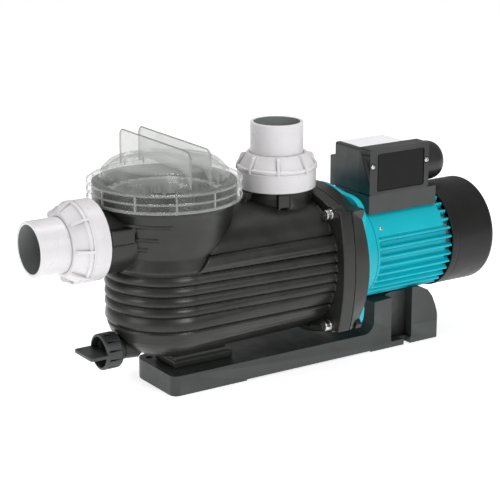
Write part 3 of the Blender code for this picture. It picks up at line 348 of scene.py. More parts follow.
def loft(rings, closed=False):
    """A skin over rings of points, each ring with one point or as many as the others; its ends are capped."""
    bm = bmesh.new()
    rows = [[bm.verts.new(p) for p in ring] for ring in rings]
    pairs = list(zip(rows, rows[1:] + ([rows[0]] if closed else [])))
    for first, second in pairs:
        if len(first) == 1 and len(second) == 1:
            continue
        for i in range(max(len(first), len(second))):
            j = (i + 1) % max(len(first), len(second))
            corners = [first[i % len(first)], first[j % len(first)], second[j % len(second)],
                       second[i % len(second)]]
            bm.faces.new(list(dict.fromkeys(corners)))
    if not closed:
        for row in (rows[0], rows[-1]):
            if len(row) > 2:
                bm.faces.new(row)
    bmesh.ops.recalc_face_normals(bm, faces=bm.faces)
    return bm


def turned(profile, axis="Z", centre=(0, 0, 0), segments=96):
    """A turned solid from an outline of (radius, place along the axis)."""
    rings = []
    for radius, along in profile:
        steps = 1 if radius < 1e-7 else segments
        rings.append([axis_point(axis, radius, 2 * math.pi * i / segments, along, centre)
                      for i in range(steps)])
    on_axis = profile[0][0] < 1e-7 and profile[-1][0] < 1e-7
    return loft(rings, closed=not on_axis)


def rod(radius, start, end, axis="Z", centre=(0, 0, 0), segments=48):
    return turned([(0, start), (radius, start), (radius, end), (0, end)], axis, centre, segments)


def prism(outline, start, end, axis="Z"):
    place = {"Z": lambda a, b, t: (a, b, t), "X": lambda a, b, t: (t, a, b),
             "Y": lambda a, b, t: (a, t, b)}[axis]
    return loft([[Vector(place(a, b, t)) for a, b in outline] for t in (start, end)])


def block(a, b):
    (x0, y0, z0), (x1, y1, z1) = a, b
    return prism([(x0, y0), (x1, y0), (x1, y1), (x0, y1)], z0, z1)


def rectangle(a, b):
    """The outline between two opposite corners, lower first."""
    return [(b[0], b[1]), (a[0], b[1]), (a[0], a[1]), (b[0], a[1])]


def angles(count):
    """Equal steps round a turn."""
    return [2 * math.pi * k / count for k in range(count)]


def placed(bm, centre, angle, axis="Z"):
    """Turns a shape about the world's axis, then moves it to its centre."""
    bm.transform(Matrix.Translation(centre) @ Matrix.Rotation(angle, 4, axis))
    return bm


def bolt_holes(start, end):
    return [rod(BOLT_HOLE_R, start, end, "X", (0, y, z), 24) for _, y, z in BOLTS]


def helper(bm):
    mesh = bpy.data.meshes.new("helper")
    bm.to_mesh(mesh)
    bm.free()
    made = bpy.data.objects.new("helper", mesh)
    bpy.context.scene.collection.objects.link(made)
    return made


def baked(thing, drop=()):
    """The evaluated mesh of an object as bmesh; the object and its tools are then removed."""
    bpy.context.view_layer.update()
    graph = bpy.context.evaluated_depsgraph_get()
    result = bmesh.new()
    result.from_mesh(thing.evaluated_get(graph).to_mesh())
    for old in [thing, *drop]:
        bpy.data.objects.remove(old, do_unlink=True)
    return result


def combined(base, add=(), cut=()):
    """Joins and cuts solids with exact Booleans."""
    body = helper(base)
    tools = []
    for operation, solids in (("UNION", add), ("DIFFERENCE", cut)):
        if not solids:
            continue
        group = bpy.data.collections.new(operation.lower())
        for solid in solids:
            tools.append(helper(solid))
            group.objects.link(tools[-1])
        step = body.modifiers.new(operation.lower(), "BOOLEAN")
        step.operation = operation
        step.solver = "EXACT"
        step.operand_type = "COLLECTION"
        step.collection = group
    result = baked(body, tools)
    bmesh.ops.remove_doubles(result, verts=result.verts, dist=1e-6)
    return result


def cast(bm, voxel, smoothing=3):
    """Remeshes a joined solid so that meeting faces run together in small fillets, as in a moulding."""
    body = helper(bm)
    step = body.modifiers.new("cast", "REMESH")
    step.mode = "VOXEL"
    step.voxel_size = voxel * 1.0
    step = body.modifiers.new("settle", "SMOOTH")
    step.factor = 0.5
    step.iterations = smoothing
    return baked(body)


def eased(bm, width, segments=2, angle=35):
    """Bevels the sharp edges."""
    body = helper(bm)
    step = body.modifiers.new("ease", "BEVEL")
    step.width = width
    step.segments = segments
    step.limit_method = "ANGLE"
    step.angle_limit = math.radians(angle)
    step.miter_outer = "MITER_ARC"
    step.use_clamp_overlap = True
    return baked(body)


def piece(name, bm, look, body, stands_for=(), sharp=40):
    """Makes a visible piece, puts it on its body and hides the CAD nodes that it stands for."""
    mesh = bpy.data.meshes.new(name)
    bm.to_mesh(mesh)
    bm.free()
    mesh.materials.append(look)
    mesh.shade_smooth()
    mesh.set_sharp_from_angle(angle=math.radians(sharp))
    made = bpy.data.objects.new(name, mesh)
    bpy.context.scene.collection.objects.link(made)
    step = made.modifiers.new("even", "WEIGHTED_NORMAL")
    step.keep_sharp = True
    bpy.context.view_layer.update()
    even = bpy.data.meshes.new_from_object(made.evaluated_get(bpy.context.evaluated_depsgraph_get()))
    made.modifiers.clear()
    made.data = even
    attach(made, body)
    if stands_for:
        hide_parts(*stands_for)
    return made


# ---------------------------------------------------------------- pump body
GROOVES = [SHAFT_Z + h for h in (0.0273, 0.0140, 0.0010, -0.0122, -0.0250, -0.0435)]
GROOVE_DEPTH = 0.0048
POT_R = 0.0768
CREASE_Z = SHAFT_Z + 0.0475
ARCH_TOP_Z = SHAFT_Z + 0.0880
ARCH_FOOT_Z = SHAFT_Z + 0.0440


def flank_half_width(height):
    above = height - (SHAFT_Z + 0.006)
    return max(0.030, math.sqrt(max(0.0, 0.0925 ** 2 - above ** 2)))


def pot_radius(height):
    if height >= GROOVES[-1]:
        return POT_R
    fall = (GROOVES[-1] - height) / (GROOVES[-1] - 0.048)
    return POT_R - 0.003 - 0.036 * fall ** 2.2


def flank_plan(height, inset):
    radius = pot_radius(height) - inset
    width = flank_half_width(height) - inset
    steps = 64
    arc = [(POT_X + radius * math.cos(a), radius * math.sin(a))
           for a in (math.pi / 2 + math.pi * k / steps for k in range(steps + 1))]
    return arc + [(FLANGE_X + 0.002, -width), (FLANGE_X + 0.002, width)]


def rib_inset(t):
    """How far a rib lies in from its crest: it swells downwards, undercut at the next groove."""
    swell = (1 - t) ** 3.2
    undercut = max(0.0, (t - 0.80) / 0.20) ** 2.2
    return GROOVE_DEPTH * min(1.0, swell * 0.95 + undercut)


def ribbed_moulding():
    """The horizontal ribs wrap the pot and run along both flanks."""
    levels = []
    for upper, lower in zip(GROOVES, GROOVES[1:]):
        levels += [(upper + (lower - upper) * k / 14, rib_inset(k / 14)) for k in range(14)]
    levels += [(GROOVES[-1], GROOVE_DEPTH), (GROOVES[-1] - 0.0016, 0.0010), (GROOVES[-1] - 0.0035, -0.0006)]
    levels += [(0.0868, -0.0006), (0.080, 0.0), (0.074, 0.0), (0.068, 0.0), (0.062, 0.0), (0.056, 0.0),
               (0.049, 0.002)]
    return loft([[Vector((x, y, height)) for x, y in flank_plan(height, inset)] for height, inset in levels])


def top_band(side):
    """The tallest rib leans in to the casing's arch, and its end beside the pot is cut off at a slant."""
    bottom = GROOVES[0] + 0.0013
    end = FLANGE_X + 0.002
    sections = []
    for height, start, y_pot, y_flange in ((bottom, -0.0010, 0.0775, 0.0885),
                                           (bottom + 0.0022, 0.0010, 0.0796, 0.0904),
                                           (bottom + 0.0080, 0.0062, 0.0812, 0.0893),
                                           (CREASE_Z - 0.0030, 0.0140, 0.0785, 0.0838),
                                           (CREASE_Z - 0.0004, 0.0166, 0.0766, 0.0816)):
        x = POT_X + start
        plan = [(x, 0.040), (x, y_pot), (end, y_flange), (end, 0.040)]
        sections.append([Vector((a, side * b, height)) for a, b in plan])
    return loft(sections)


def arch_section(x, half_width):
    """The volute casing above the ribs: half an ellipse standing on the ribbed flanks."""
    turns = [math.pi * k / 64 for k in range(65)]
    rise = ARCH_TOP_Z - ARCH_FOOT_Z
    arch = [Vector((x, half_width * math.cos(a), ARCH_FOOT_Z + rise * math.sin(a) ** 0.94)) for a in turns]
    return arch + [Vector((x, -0.060, SHAFT_Z - 0.010)), Vector((x, 0.060, SHAFT_Z - 0.010))]


def ring_ridge(radius, height, first, last):
    """A thin ridge round part of the pot."""
    turns = [math.radians(first + (last - first) * k / 24) for k in range(25)]
    outline = [(POT_X + radius * math.cos(a), radius * math.sin(a)) for a in turns]
    outline += [(POT_X + (radius - 0.006) * math.cos(a), (radius - 0.006) * math.sin(a))
                for a in reversed(turns)]
    return prism(outline, height - 0.0011, height + 0.0011)


def bulged_square(half_side, half_height, bulge_y, bulge_z, corners=(0.0010, 0.0150), steps=16):
    """A square with outward curved sides and a ledge at each corner, as (y, z) places about the shaft."""
    points = []
    for quarter in range(4):
        corner = corners[quarter % 2]
        a, b = (half_side, half_height) if quarter % 2 == 0 else (half_height, half_side)
        rise = (bulge_y - half_side) if quarter % 2 == 0 else (bulge_z - half_height)
        for k in range(steps + 1):
            t = -1 + 2 * k / steps
            u, v = a + rise * (1 - t * t), t * (b - corner)
            turn = quarter * math.pi / 2
            y, z = u * math.cos(turn) - v * math.sin(turn), u * math.sin(turn) + v * math.cos(turn)
            points.append((y, SHAFT_Z + z))
    return points


def pump_body():
    rim_z = 0.2655
    pot = turned([(0, 0.054), (0.045, 0.054), (POT_R - 0.0042, 0.085), (POT_R - 0.0042, GROOVES[0] - 0.002),
                  (POT_R - 0.0018, GROOVES[0] + 0.0014), (POT_R + 0.0002, GROOVES[0] + 0.0042),
                  (POT_R - 0.0003, GROOVES[0] + 0.0080), (0.0744, CREASE_Z), (0.0748, CREASE_Z + 0.0020),
                  (0.0765, 0.1950), (0.0786, 0.2060), (0.0812, 0.2170), (0.0842, 0.2270), (0.0868, 0.2345),
                  (0.0893, 0.2395), (0.0895, 0.2410), (0.0895, rim_z),
                  (0, rim_z)], centre=(POT_X, 0, 0), segments=192)
    arch = loft([arch_section(POT_X, 0.0705), arch_section(POT_X + 0.030, 0.0735),
                 arch_section(FLANGE_X + 0.003, 0.0775)])
    outlet_top = OUTLET_END - PORT_DEPTH
    neck = loft([[Vector((min(OUTLET_X + r * math.cos(a), FLANGE_X + 0.010), r * math.sin(a), z))
                  for a in angles(96)]
                 for r, z in ((0.0660, 0.1955), (0.0600, 0.2025), (0.0540, 0.2078), (0.0490, 0.2132),
                              (0.0458, 0.2195), (0.0440, 0.2265), (PORT_R, 0.2330), (PORT_R, outlet_top))])
    lugs = []
    for turn, reach, drop in ((180, 0.0525, 0.018), (247, 0.0500, 0.0190), (113, 0.0500, 0.0190)):
        lug = block((0.030, -0.0072, 0.2362 - drop), (reach, 0.0072, 0.2343))
        lugs.append(placed(lug, (OUTLET_X, 0, 0), math.radians(turn)))
    inlet_start = INLET_END + PORT_DEPTH
    inlet = turned([(0, inlet_start), (PORT_R, inlet_start), (PORT_R, INLET_END + 0.0855),
                    (0, INLET_END + 0.0855)], "X", (0, 0, INLET_Z), 96)
    throat = loft([[Vector((x, 0.0445 * math.cos(a),
                            INLET_Z + (0.0375 if math.sin(a) > 0 else 0.0445) * math.sin(a)))
                    for a in angles(64)] for x in (INLET_END + 0.0852, POT_X - 0.020)])
    inlet_lugs = [block((INLET_END + 0.0855, -0.0478, INLET_Z + 0.0012),
                        (POT_X - 0.0690, -0.0300, INLET_Z + 0.0190)),
                  block((INLET_END + 0.0855, 0.0300, INLET_Z + 0.0012),
                        (POT_X - 0.0690, 0.0478, INLET_Z + 0.0190))]
    ridges = [ring_ridge(radius, height, first, last)
              for radius, height, span in ((0.0852, 0.2262, 66), (0.0805, 0.2090, 54), (0.0780, 0.1960, 44))
              for first, last in ((180, 180 + span), (180 - span, 180))]
    flange = prism(bulged_square(0.0945, 0.0790, 0.1060, 0.0960), FLANGE_X, FLANGE_END, "X")
    drain = turned(soften([(0, POT_X - 0.0727, 0), (0.0155, POT_X - 0.0727), (0.0155, POT_X - 0.068),
                           (0.0140, POT_X - 0.066), (0.0155, POT_X - 0.045),
                           (0, POT_X - 0.045, 0)], 0.0008, 2, closed=False), "X", (0, 0, DRAIN_Z), 64)
    foot = block((POT_X - 0.003, -0.024, BASE_TOP + GAP), (POT_X + 0.083, 0.024, BASE_TOP + 0.0095))
    pedestal = loft([[Vector((x, y, z)) for x, y in rectangle((POT_X - a, -w), (POT_X + b, w))]
                     for z, a, b, w in ((BASE_TOP + 0.004, 0.001, 0.079, 0.0225),
                                        (0.042, 0.002, 0.074, 0.022),
                                        (0.058, 0.020, 0.068, 0.030),
                                        (0.070, 0.030, 0.066, 0.034))])
    bosses = [rod(0.0105, FLANGE_X - 0.0002, FLANGE_END - 0.001, "X", (0, y, z), 40) for _, y, z in BOLTS]

    cavity = turned([(0, 0.060), (0.048, 0.060), (POT_R - 0.010, 0.088), (POT_R - 0.0075, 0.200),
                     (POT_R - 0.006, 0.240), (0.0775, 0.2480), (0.0775, rim_z + OVER),
                     (0, rim_z + OVER)], centre=(POT_X, 0, 0), segments=128)
    groove = turned([(0.0808, rim_z - 0.0036), (0.0862, rim_z - 0.0036), (0.0862, rim_z + OVER),
                     (0.0808, rim_z + OVER)], centre=(POT_X, 0, 0), segments=128)
    ducts = [rod(PORT_BORE_R, inlet_start - OVER, POT_X - 0.030, "X", (0, 0, INLET_Z), 64),
             rod(0.0280, POT_X + 0.030, -0.027, "X", (0, 0, SHAFT_Z), 64),
             rod(0.0745, -0.0320, FLANGE_END + OVER, "X", (0, 0, SHAFT_Z), 96),
             rod(PORT_BORE_R, SHAFT_Z + 0.040, outlet_top + OVER, "Z", (OUTLET_X, 0, 0), 64),
             rod(0.0100, POT_X - 0.10, POT_X - 0.030, "X", (0, 0, DRAIN_Z), 40)]
    holes = bolt_holes(FLANGE_X - OVER, FLANGE_END + OVER)
    body = combined(ribbed_moulding(),
                    add=[pot, arch, top_band(1), top_band(-1), neck, inlet, throat, flange, drain, foot,
                         pedestal] + lugs + inlet_lugs + ridges + bosses,
                    cut=[cavity, groove] + ducts + holes)
    piece("pump_moulding", cast(body, 0.0010, 2), BLACK, "pump", ["pump_body"], 60)


# ---------------------------------------------------------------- lid and basket
FIN_OFFSET = 0.0137
FIN_HALF = 0.0015


def lid():
    centre = (POT_X, 0, 0)
    top = COLLAR_Z + 0.0455
    r = LID_R
    ring = 0.0016
    outer = [(0, top, 0), (0.0685, top, 0.002), (0.0790, top - 0.0100, 0.004), (0.0802, 0.2722, 0.002),
             (r - 0.004, 0.2712, 0.002), (r, 0.2688), (r + ring, 0.2680), (r + ring, 0.2655),
             (r - 0.0004, 0.2650), (r - 0.0004, 0.2580), (r + ring * 0.7, 0.2572), (r + ring * 0.7, 0.2552),
             (r - 0.0006, 0.2546), (r - 0.0006, 0.2484), (r + ring, 0.2478), (r + ring, COLLAR_Z + 0.0004),
             (r - 0.0042, COLLAR_Z + 0.0004)]
    inner = [(r - 0.0042, 0.2669), (0.0763, 0.2669), (0.0753, top - 0.0110, 0.004),
             (0.0665, top - 0.0038, 0.002), (0, top - 0.0038, 0)]
    shell = turned(soften(outer + inner, 0.0006, 2, closed=False), "Z", centre, 128)
    fins = []
    for side in (-1, 1):
        x = POT_X + side * FIN_OFFSET
        half = 0.0858
        outline = soften([(-half, 0.2700, 0.002), (-half, FIN_TOP, 0.011), (half, FIN_TOP, 0.011),
                          (half, 0.2700, 0.002)], 0.01, 6)
        fins.append(eased(prism(outline, x - FIN_HALF, x + FIN_HALF, "X"), 0.0013, 1))
    ribs = []
    for k in range(12):
        rib = block((r - 0.002, -0.0012, COLLAR_Z + 0.0010), (r + 0.0017, 0.0012, 0.2675))
        ribs.append(placed(rib, centre, math.radians(8 + 30 * k)))
    inside = turned([(0, top - 0.0038), (0.0665, top - 0.0038), (0.0753, top - 0.0110), (0.0763, 0.2669),
                     (r - 0.0042, 0.2669), (r - 0.0042, COLLAR_Z - OVER), (0, COLLAR_Z - OVER)], "Z",
                    centre, 128)
    made = piece("clear_lid", combined(shell, add=fins + ribs, cut=[inside]), CLEAR, "lid",
                 ["strainer_lid"], 32)
    ridge, fin_side, fin_edge_shade, dome = range(1, 5)
    # painted highlight: the collar's rings and ribs take the more opaque copy of the clear plastic
    for look in (CLEAR_RIDGE_HIGHLIGHT, CLEAR_FIN, CLEAR_FIN_EDGE_SHADE, CLEAR_DOME):
        made.data.materials.append(look)
    # painted shade: the fins' edge faces take the dark copy
    for face in made.data.polygons:
        x, y, z = face.center
        out = math.hypot(x - POT_X, y)
        on_fin = abs(abs(x - POT_X) - FIN_OFFSET) < FIN_HALF + 0.00005 and z > 0.2715 and out < 0.0880
        if on_fin and (z > top or out > 0.0700):
            face.material_index = fin_side if abs(face.normal.x) > 0.9 else fin_edge_shade
        elif z > 0.2725:
            face.material_index = dome
        elif out > r + 0.0003:
            face.material_index = ridge


def basket():
    centre = (POT_X, 0, 0)
    top, bottom = high("strainer_basket", "z"), low("strainer_basket", "z")
    wall = 0.0020
    cup = turned(soften([(0, bottom, 0), (0.0480, bottom, 0.006), (0.0655, 0.105, 0.01),
                         (0.0655, top - 0.009, 0.002), (0.0750, top - 0.003), (0.0750, top),
                         (0.0655 - wall, top), (0.0655 - wall, 0.105, 0.01),
                         (0.0480 - wall, bottom + wall, 0.006), (0, bottom + wall, 0)], 0.0006, 3,
                        closed=False), "Z", centre, 96)
    windows = []
    for k in range(24):
        for row in range(6):
            z0 = 0.108 + row * 0.0215
            window = block((0.050, -0.0058, z0), (0.070, 0.0058, z0 + 0.0165))
            windows.append(placed(window, centre, 2 * math.pi * (k + 0.5) / 24))
    notches = []
    for k in range(30):
        notch = block((0.0690, -0.0030, top - 0.010), (0.0735, 0.0030, top + OVER))
        notches.append(placed(notch, centre, 2 * math.pi * (k + 0.5) / 30))
    piece("basket_cage", combined(cup, cut=windows + notches), BASKET, "basket",
          ["strainer_basket"])


# ---------------------------------------------------------------- unions
def union(side):
    """One pipe union: the tail, with its bore painted grey as shade, and the ribbed nut round it."""
    inlet = side == "inlet"
    axis = "X" if inlet else "Z"
    centre = (0, 0, INLET_Z) if inlet else (OUTLET_X, 0, 0)
    start = Vector((INLET_END, 0, INLET_Z)) if inlet else Vector((OUTLET_X, 0, OUTLET_END))
    direction = 1 if inlet else -1
    origin = INLET_END if inlet else OUTLET_END

    def along(points):
        return [(p[0], origin + direction * p[1], *p[2:]) for p in points]

    tail = along([(0.0297, 0.0, 0.0008), (0.0340, 0.0, 0.0012), (0.0340, 0.0500, 0.0005), (0.0425, 0.0500),
                  (0.0425, 0.0560), (0.0255, 0.0560), (0.0255, 0.0340), (0.0294, 0.0340)])
    made = piece(side + "_pipe_tail", turned(soften(tail, 0.0006), axis, centre, 128), PVC,
                 side + "_pipe_end", [side + "_tail"], 32)
    # painted shade: the bore faces get the grey copy
    made.data.materials.append(BORE_PAINTED_SHADE)
    for face in made.data.polygons:
        out = face.center - Vector(centre)
        out["XYZ".index(axis)] = 0.0
        face.material_index = int(out.length < 0.0299)

    nut = along([(0.0346, 0.0395), (0.0388, 0.0395, 0.0008), (0.0478, 0.0548, 0.001), (0.0500, 0.0552),
                 (0.0508, 0.0560), (0.0508, 0.0585), (0.0498, 0.0590), (0.0498, 0.0600), (0.0510, 0.0606),
                 (0.0510, 0.0620), (0.0505, 0.0626), (0.0502, 0.0840, 0.0012), (0.0438, 0.0845),
                 (0.0438, 0.0497), (0.0346, 0.0497)])
    swapped = Matrix(((0, 0, 1, 0), (0, 1, 0, 0), (1, 0, 0, 0), (0, 0, 0, 1)))
    flip = swapped if inlet else Matrix.Diagonal((1, 1, -1, 1))
    phase = 0.0 if inlet else 0.3
    ribs = []
    for k in range(8):
        outline = soften([(0.0365, 0.0402), (0.0440, 0.0399, 0.002), (0.0468, 0.0425, 0.002),
                          (0.0478, 0.0470, 0.003), (0.0524, 0.0552, 0.002), (0.0524, 0.0612, 0.001),
                          (0.0480, 0.0612), (0.0450, 0.0535)], 0.0006, 3)
        rib = eased(prism(outline, -0.0017, 0.0017, "Y"), 0.0005, 2)
        turn = Matrix.Rotation(2 * math.pi * (k + phase) / 8, 4, axis)
        rib.transform(Matrix.Translation(start) @ turn @ flip)
        bmesh.ops.recalc_face_normals(rib, faces=rib.faces)
        ribs.append(rib)
    piece(side + "_union_nut_shell", combined(turned(soften(nut, 0.0004, 2), axis, centre, 128), add=ribs),
          PVC, side + "_union_nut", [side + "_nut"], 32)


# ---------------------------------------------------------------- drain plug
def drain_plug():
    face = low("drain_plug", "x") + 0.0225
    centre = (0, 0, DRAIN_Z)
    cap = turned(soften([(0, face + 0.007, 0), (0.0175, face + 0.007), (0.0195, face),
                         (0.0228, face + 0.0008, 0.001), (0.0228, face + 0.021, 0.001),
                         (0.0213, face + 0.0235), (0.0096, face + 0.0235), (0.0096, face + 0.040),
                         (0, face + 0.040, 0)], 0.0006, 2, closed=False), "X", centre, 72)
    wing = eased(prism(soften(rectangle((face - 0.0225, -0.0230), (face + 0.010, 0.0230)), 0.005, 4),
                       DRAIN_Z - 0.0022, DRAIN_Z + 0.0022), 0.0008, 2)
    notches = []
    for k in range(12):
        notch = rod(0.0018, face + 0.004, face + 0.030, "X", (0, 0.0240, 0), 12)
        notches.append(placed(notch, centre, 2 * math.pi * (k + 0.5) / 12, "X"))
    piece("drain_cap_moulding", combined(cap, add=[wing], cut=notches), BASE_BLACK, "drain_cap",
          ["drain_plug"], 32)


# ---------------------------------------------------------------- bracket and bolts
def bracket():
    front = bulged_square(0.0945, 0.0790, 0.1060, 0.0960)
    rear = bulged_square(0.0800, 0.0790, 0.1060, 0.0960)
    lip = BRACKET_X - 0.0018
    shape = loft([[Vector((x, y, z)) for y, z in outline]
                  for x, outline in ((lip, front), (BRACKET_X, front), (BRACKET_END, rear))])
    gasket_room = rod(0.0845, lip - OVER, BRACKET_X, "X", (0, 0, SHAFT_Z), 96)
    opening = rod(0.0620, BRACKET_X + 0.006, BRACKET_END + OVER, "X", (0, 0, SHAFT_Z), 96)
    cuts = [opening, gasket_room] + bolt_holes(BRACKET_X - OVER, BRACKET_END + OVER)
    upper = ((0.0600, 0.0560), (0.0845, 0.0560), (0.0955, 0.0788), (0.0600, 0.0788))
    lower = ((0.0600, -0.0600), (0.0800, -0.0610), (0.0920, -0.0740), (0.0900, -0.0795), (0.0600, -0.0850))
    tabs = [prism([(s * y, SHAFT_Z + z) for y, z in tab], BRACKET_END - depth, BRACKET_END - 0.0004, "X")
            for tab, depth in ((upper, 0.0190), (lower, 0.0090)) for s in (-1, 1)]
    piece("bracket_moulding", eased(combined(shape, add=tabs, cut=cuts), 0.0008, 3), BLACK, "pump",
          ["motor_bracket"], 32)
    for number, (_, y, z) in enumerate(BOLTS, 1):
        head = turned(soften([(0, FLANGE_X - 0.0088, 0), (0.0060, FLANGE_X - 0.0088, 0.0008),
                              (0.0066, FLANGE_X - 0.0080), (0.0066, FLANGE_X - 0.0016),
                              (0.0078, FLANGE_X - 0.0015), (0.0078, FLANGE_X - GAP),
                              (0.0040, FLANGE_X - GAP), (0.0040, BRACKET_END + 0.0060),
                              (0, BRACKET_END + 0.0060, 0)], 0.0003, 2, closed=False), "X", (0, y, z), 40)
        socket = rod(0.0034, FLANGE_X - 0.012, FLANGE_X - 0.0040, "X", (0, y, z), 6)
        piece(f"bolt_{number}", combined(head, cut=[socket]), STEEL, "pump",
              [f"flange_bolt_{number}"], 32)


# ---------------------------------------------------------------- motor
def shield_point(turn, fade):
    """The shield's outline: an oval with an ear at each bolt, drawn in to the motor's round by fade."""
    oval = 1 / math.sqrt((math.cos(turn) / 0.0860) ** 2 + (math.sin(turn) / 0.0940) ** 2)
    ears = sum(math.exp(-(((turn - math.pi / 4 * n + math.pi) % (2 * math.pi) - math.pi) / 0.30) ** 2)
               for n in (1, 3, 5, 7))
    outline = oval + 0.0225 * ears
    round_r = MOTOR_R - 0.0005
    radius = round_r + (outline - round_r) * (1 - max(0.0, fade)) ** 2.1 + min(0.0, fade)
    return radius * math.cos(turn), SHAFT_Z + radius * math.sin(turn)


def motor():
    centre = (0, 0, SHAFT_Z)
    rim, foot = SHIELD_X + 0.0080, SHIELD_X + 0.0310
    rings = [(SHIELD_X, -0.0010), (SHIELD_X + 0.0010, 0.0), (rim, 0.0)]
    rings += [(rim + (foot - rim) * k / 12, k / 12) for k in range(1, 13)] + [(HOUSING_X - GAP, 1.0)]
    shield = loft([[Vector((x, *shield_point(turn, s))) for turn in angles(144)] for x, s in rings])
    cuts = [rod(0.0600, SHIELD_X + 0.0265, HOUSING_X + OVER, "X", centre, 96),
            rod(0.0560, SHIELD_X - OVER, SHIELD_X + 0.008, "X", centre, 96),
            rod(0.0203, SHIELD_X + 0.012, SHIELD_X + 0.03, "X", centre, 48),
            rod(0.0090, SHIELD_X - OVER, SHIELD_X + 0.03, "X", centre, 32)]
    cuts += bolt_holes(SHIELD_X - OVER, SHIELD_X + 0.0065)
    shield = combined(shield, cut=cuts)
    piece("front_shield_casting", cast(shield, 0.0009, 3), TURQUOISE, "pump",
          ["motor_front_shield"], 60)

    fins = []
    for angle in angles(36):
        above = SHAFT_Z + MOTOR_R * math.sin(angle) > 0.1650
        profile = soften([(0.0600, -0.0030, 0), (0.0632, -0.0026, 0.001), (0.0695, -0.0014, 0.0012),
                          (0.0695, 0.0014, 0.0012), (0.0632, 0.0026, 0.001), (0.0600, 0.0030, 0)], 0.001, 3)
        fin = prism(profile, HOUSING_END - 0.0100 if above else HOUSING_X, HOUSING_END, "X")
        fins.append(placed(fin, centre, angle, "X"))
    root = turned([(0.0580, HOUSING_X), (0.0626, HOUSING_X), (0.0626, HOUSING_END - 0.0055),
                   (0.0580, HOUSING_END - 0.0055)], "X", centre, 128)
    front = turned(soften([(0.0590, HOUSING_X), (0.0690, HOUSING_X), (0.0688, HOUSING_X + 0.003),
                           (0.0620, HOUSING_X + 0.011), (0.0590, HOUSING_X + 0.011)], 0.002, 3),
                   "X", centre, 128)
    panel = [(side * (MOTOR_R - 0.0012) * math.cos(a), SHAFT_Z + (MOTOR_R - 0.0012) * math.sin(a))
             for side, turns in ((1, range(24, 61, 4)), (-1, range(60, 23, -4)))
             for a in (math.radians(t) for t in turns)]
    saddle = prism(panel + [(-0.0560, SHAFT_Z + 0.0200), (0.0560, SHAFT_Z + 0.0200)], HOUSING_X + GAP,
                   HOUSING_END - 0.0105, "X")
    bore = rod(0.0580, HOUSING_X - OVER, HOUSING_END + OVER, "X", centre, 96)
    housing = combined(root, add=fins + [front, saddle], cut=[bore])
    piece("housing_casting", cast(housing, 0.0008, 2), TURQUOISE, "pump",
          ["motor_housing"], 60)
    screw = turned(soften([(0, -0.0018, 0), (0.0024, -0.0014), (0.0028, 0.0), (0.0028, 0.002), (0, 0.002, 0)],
                          0.0004, 2, closed=False), "Y", (0, 0, 0), 24)
    tilt = math.atan2(0.026, 0.016)
    placed(screw, (HOUSING_X + 0.012, -0.0572, SHAFT_Z + 0.0365), -(math.pi / 2 - tilt), "X")
    piece("panel_screw", screw, STEEL, "pump")


def cowl():
    centre = (0, 0, SHAFT_Z)
    r = high("fan_cowl", "y")
    shell = turned(soften([(0, COWL_END - 0.0025, 0), (r - 0.0027, COWL_END - 0.0025, 0.006),
                           (r - 0.0027, COWL_X, 0.0004), (r, COWL_X, 0.0006), (r, COWL_X + 0.0080, 0.0004),
                           (r - 0.0007, COWL_X + 0.0088, 0.0004), (r - 0.0003, COWL_X + 0.0140, 0.002),
                           (r, COWL_END, 0.0085), (0, COWL_END, 0)], 0.0004, 8, closed=False),
                   "X", centre, 128)
    slots = []
    for ring, (r0, r1, count) in enumerate(((0.014, 0.027, 12), (0.031, 0.042, 24), (0.046, 0.055, 36))):
        width = 0.0020 if ring else 0.0024
        for k in range(count):
            slot = block((COWL_END - OVER, r0, -width), (COWL_END + OVER, r1, width))
            slots.append(placed(slot, centre, 2 * math.pi * (k + 0.5 * ring) / count, "X"))
    piece("fan_cowl_shell", combined(shell, cut=slots), COWL_BLACK, "pump", ["fan_cowl"], 32)


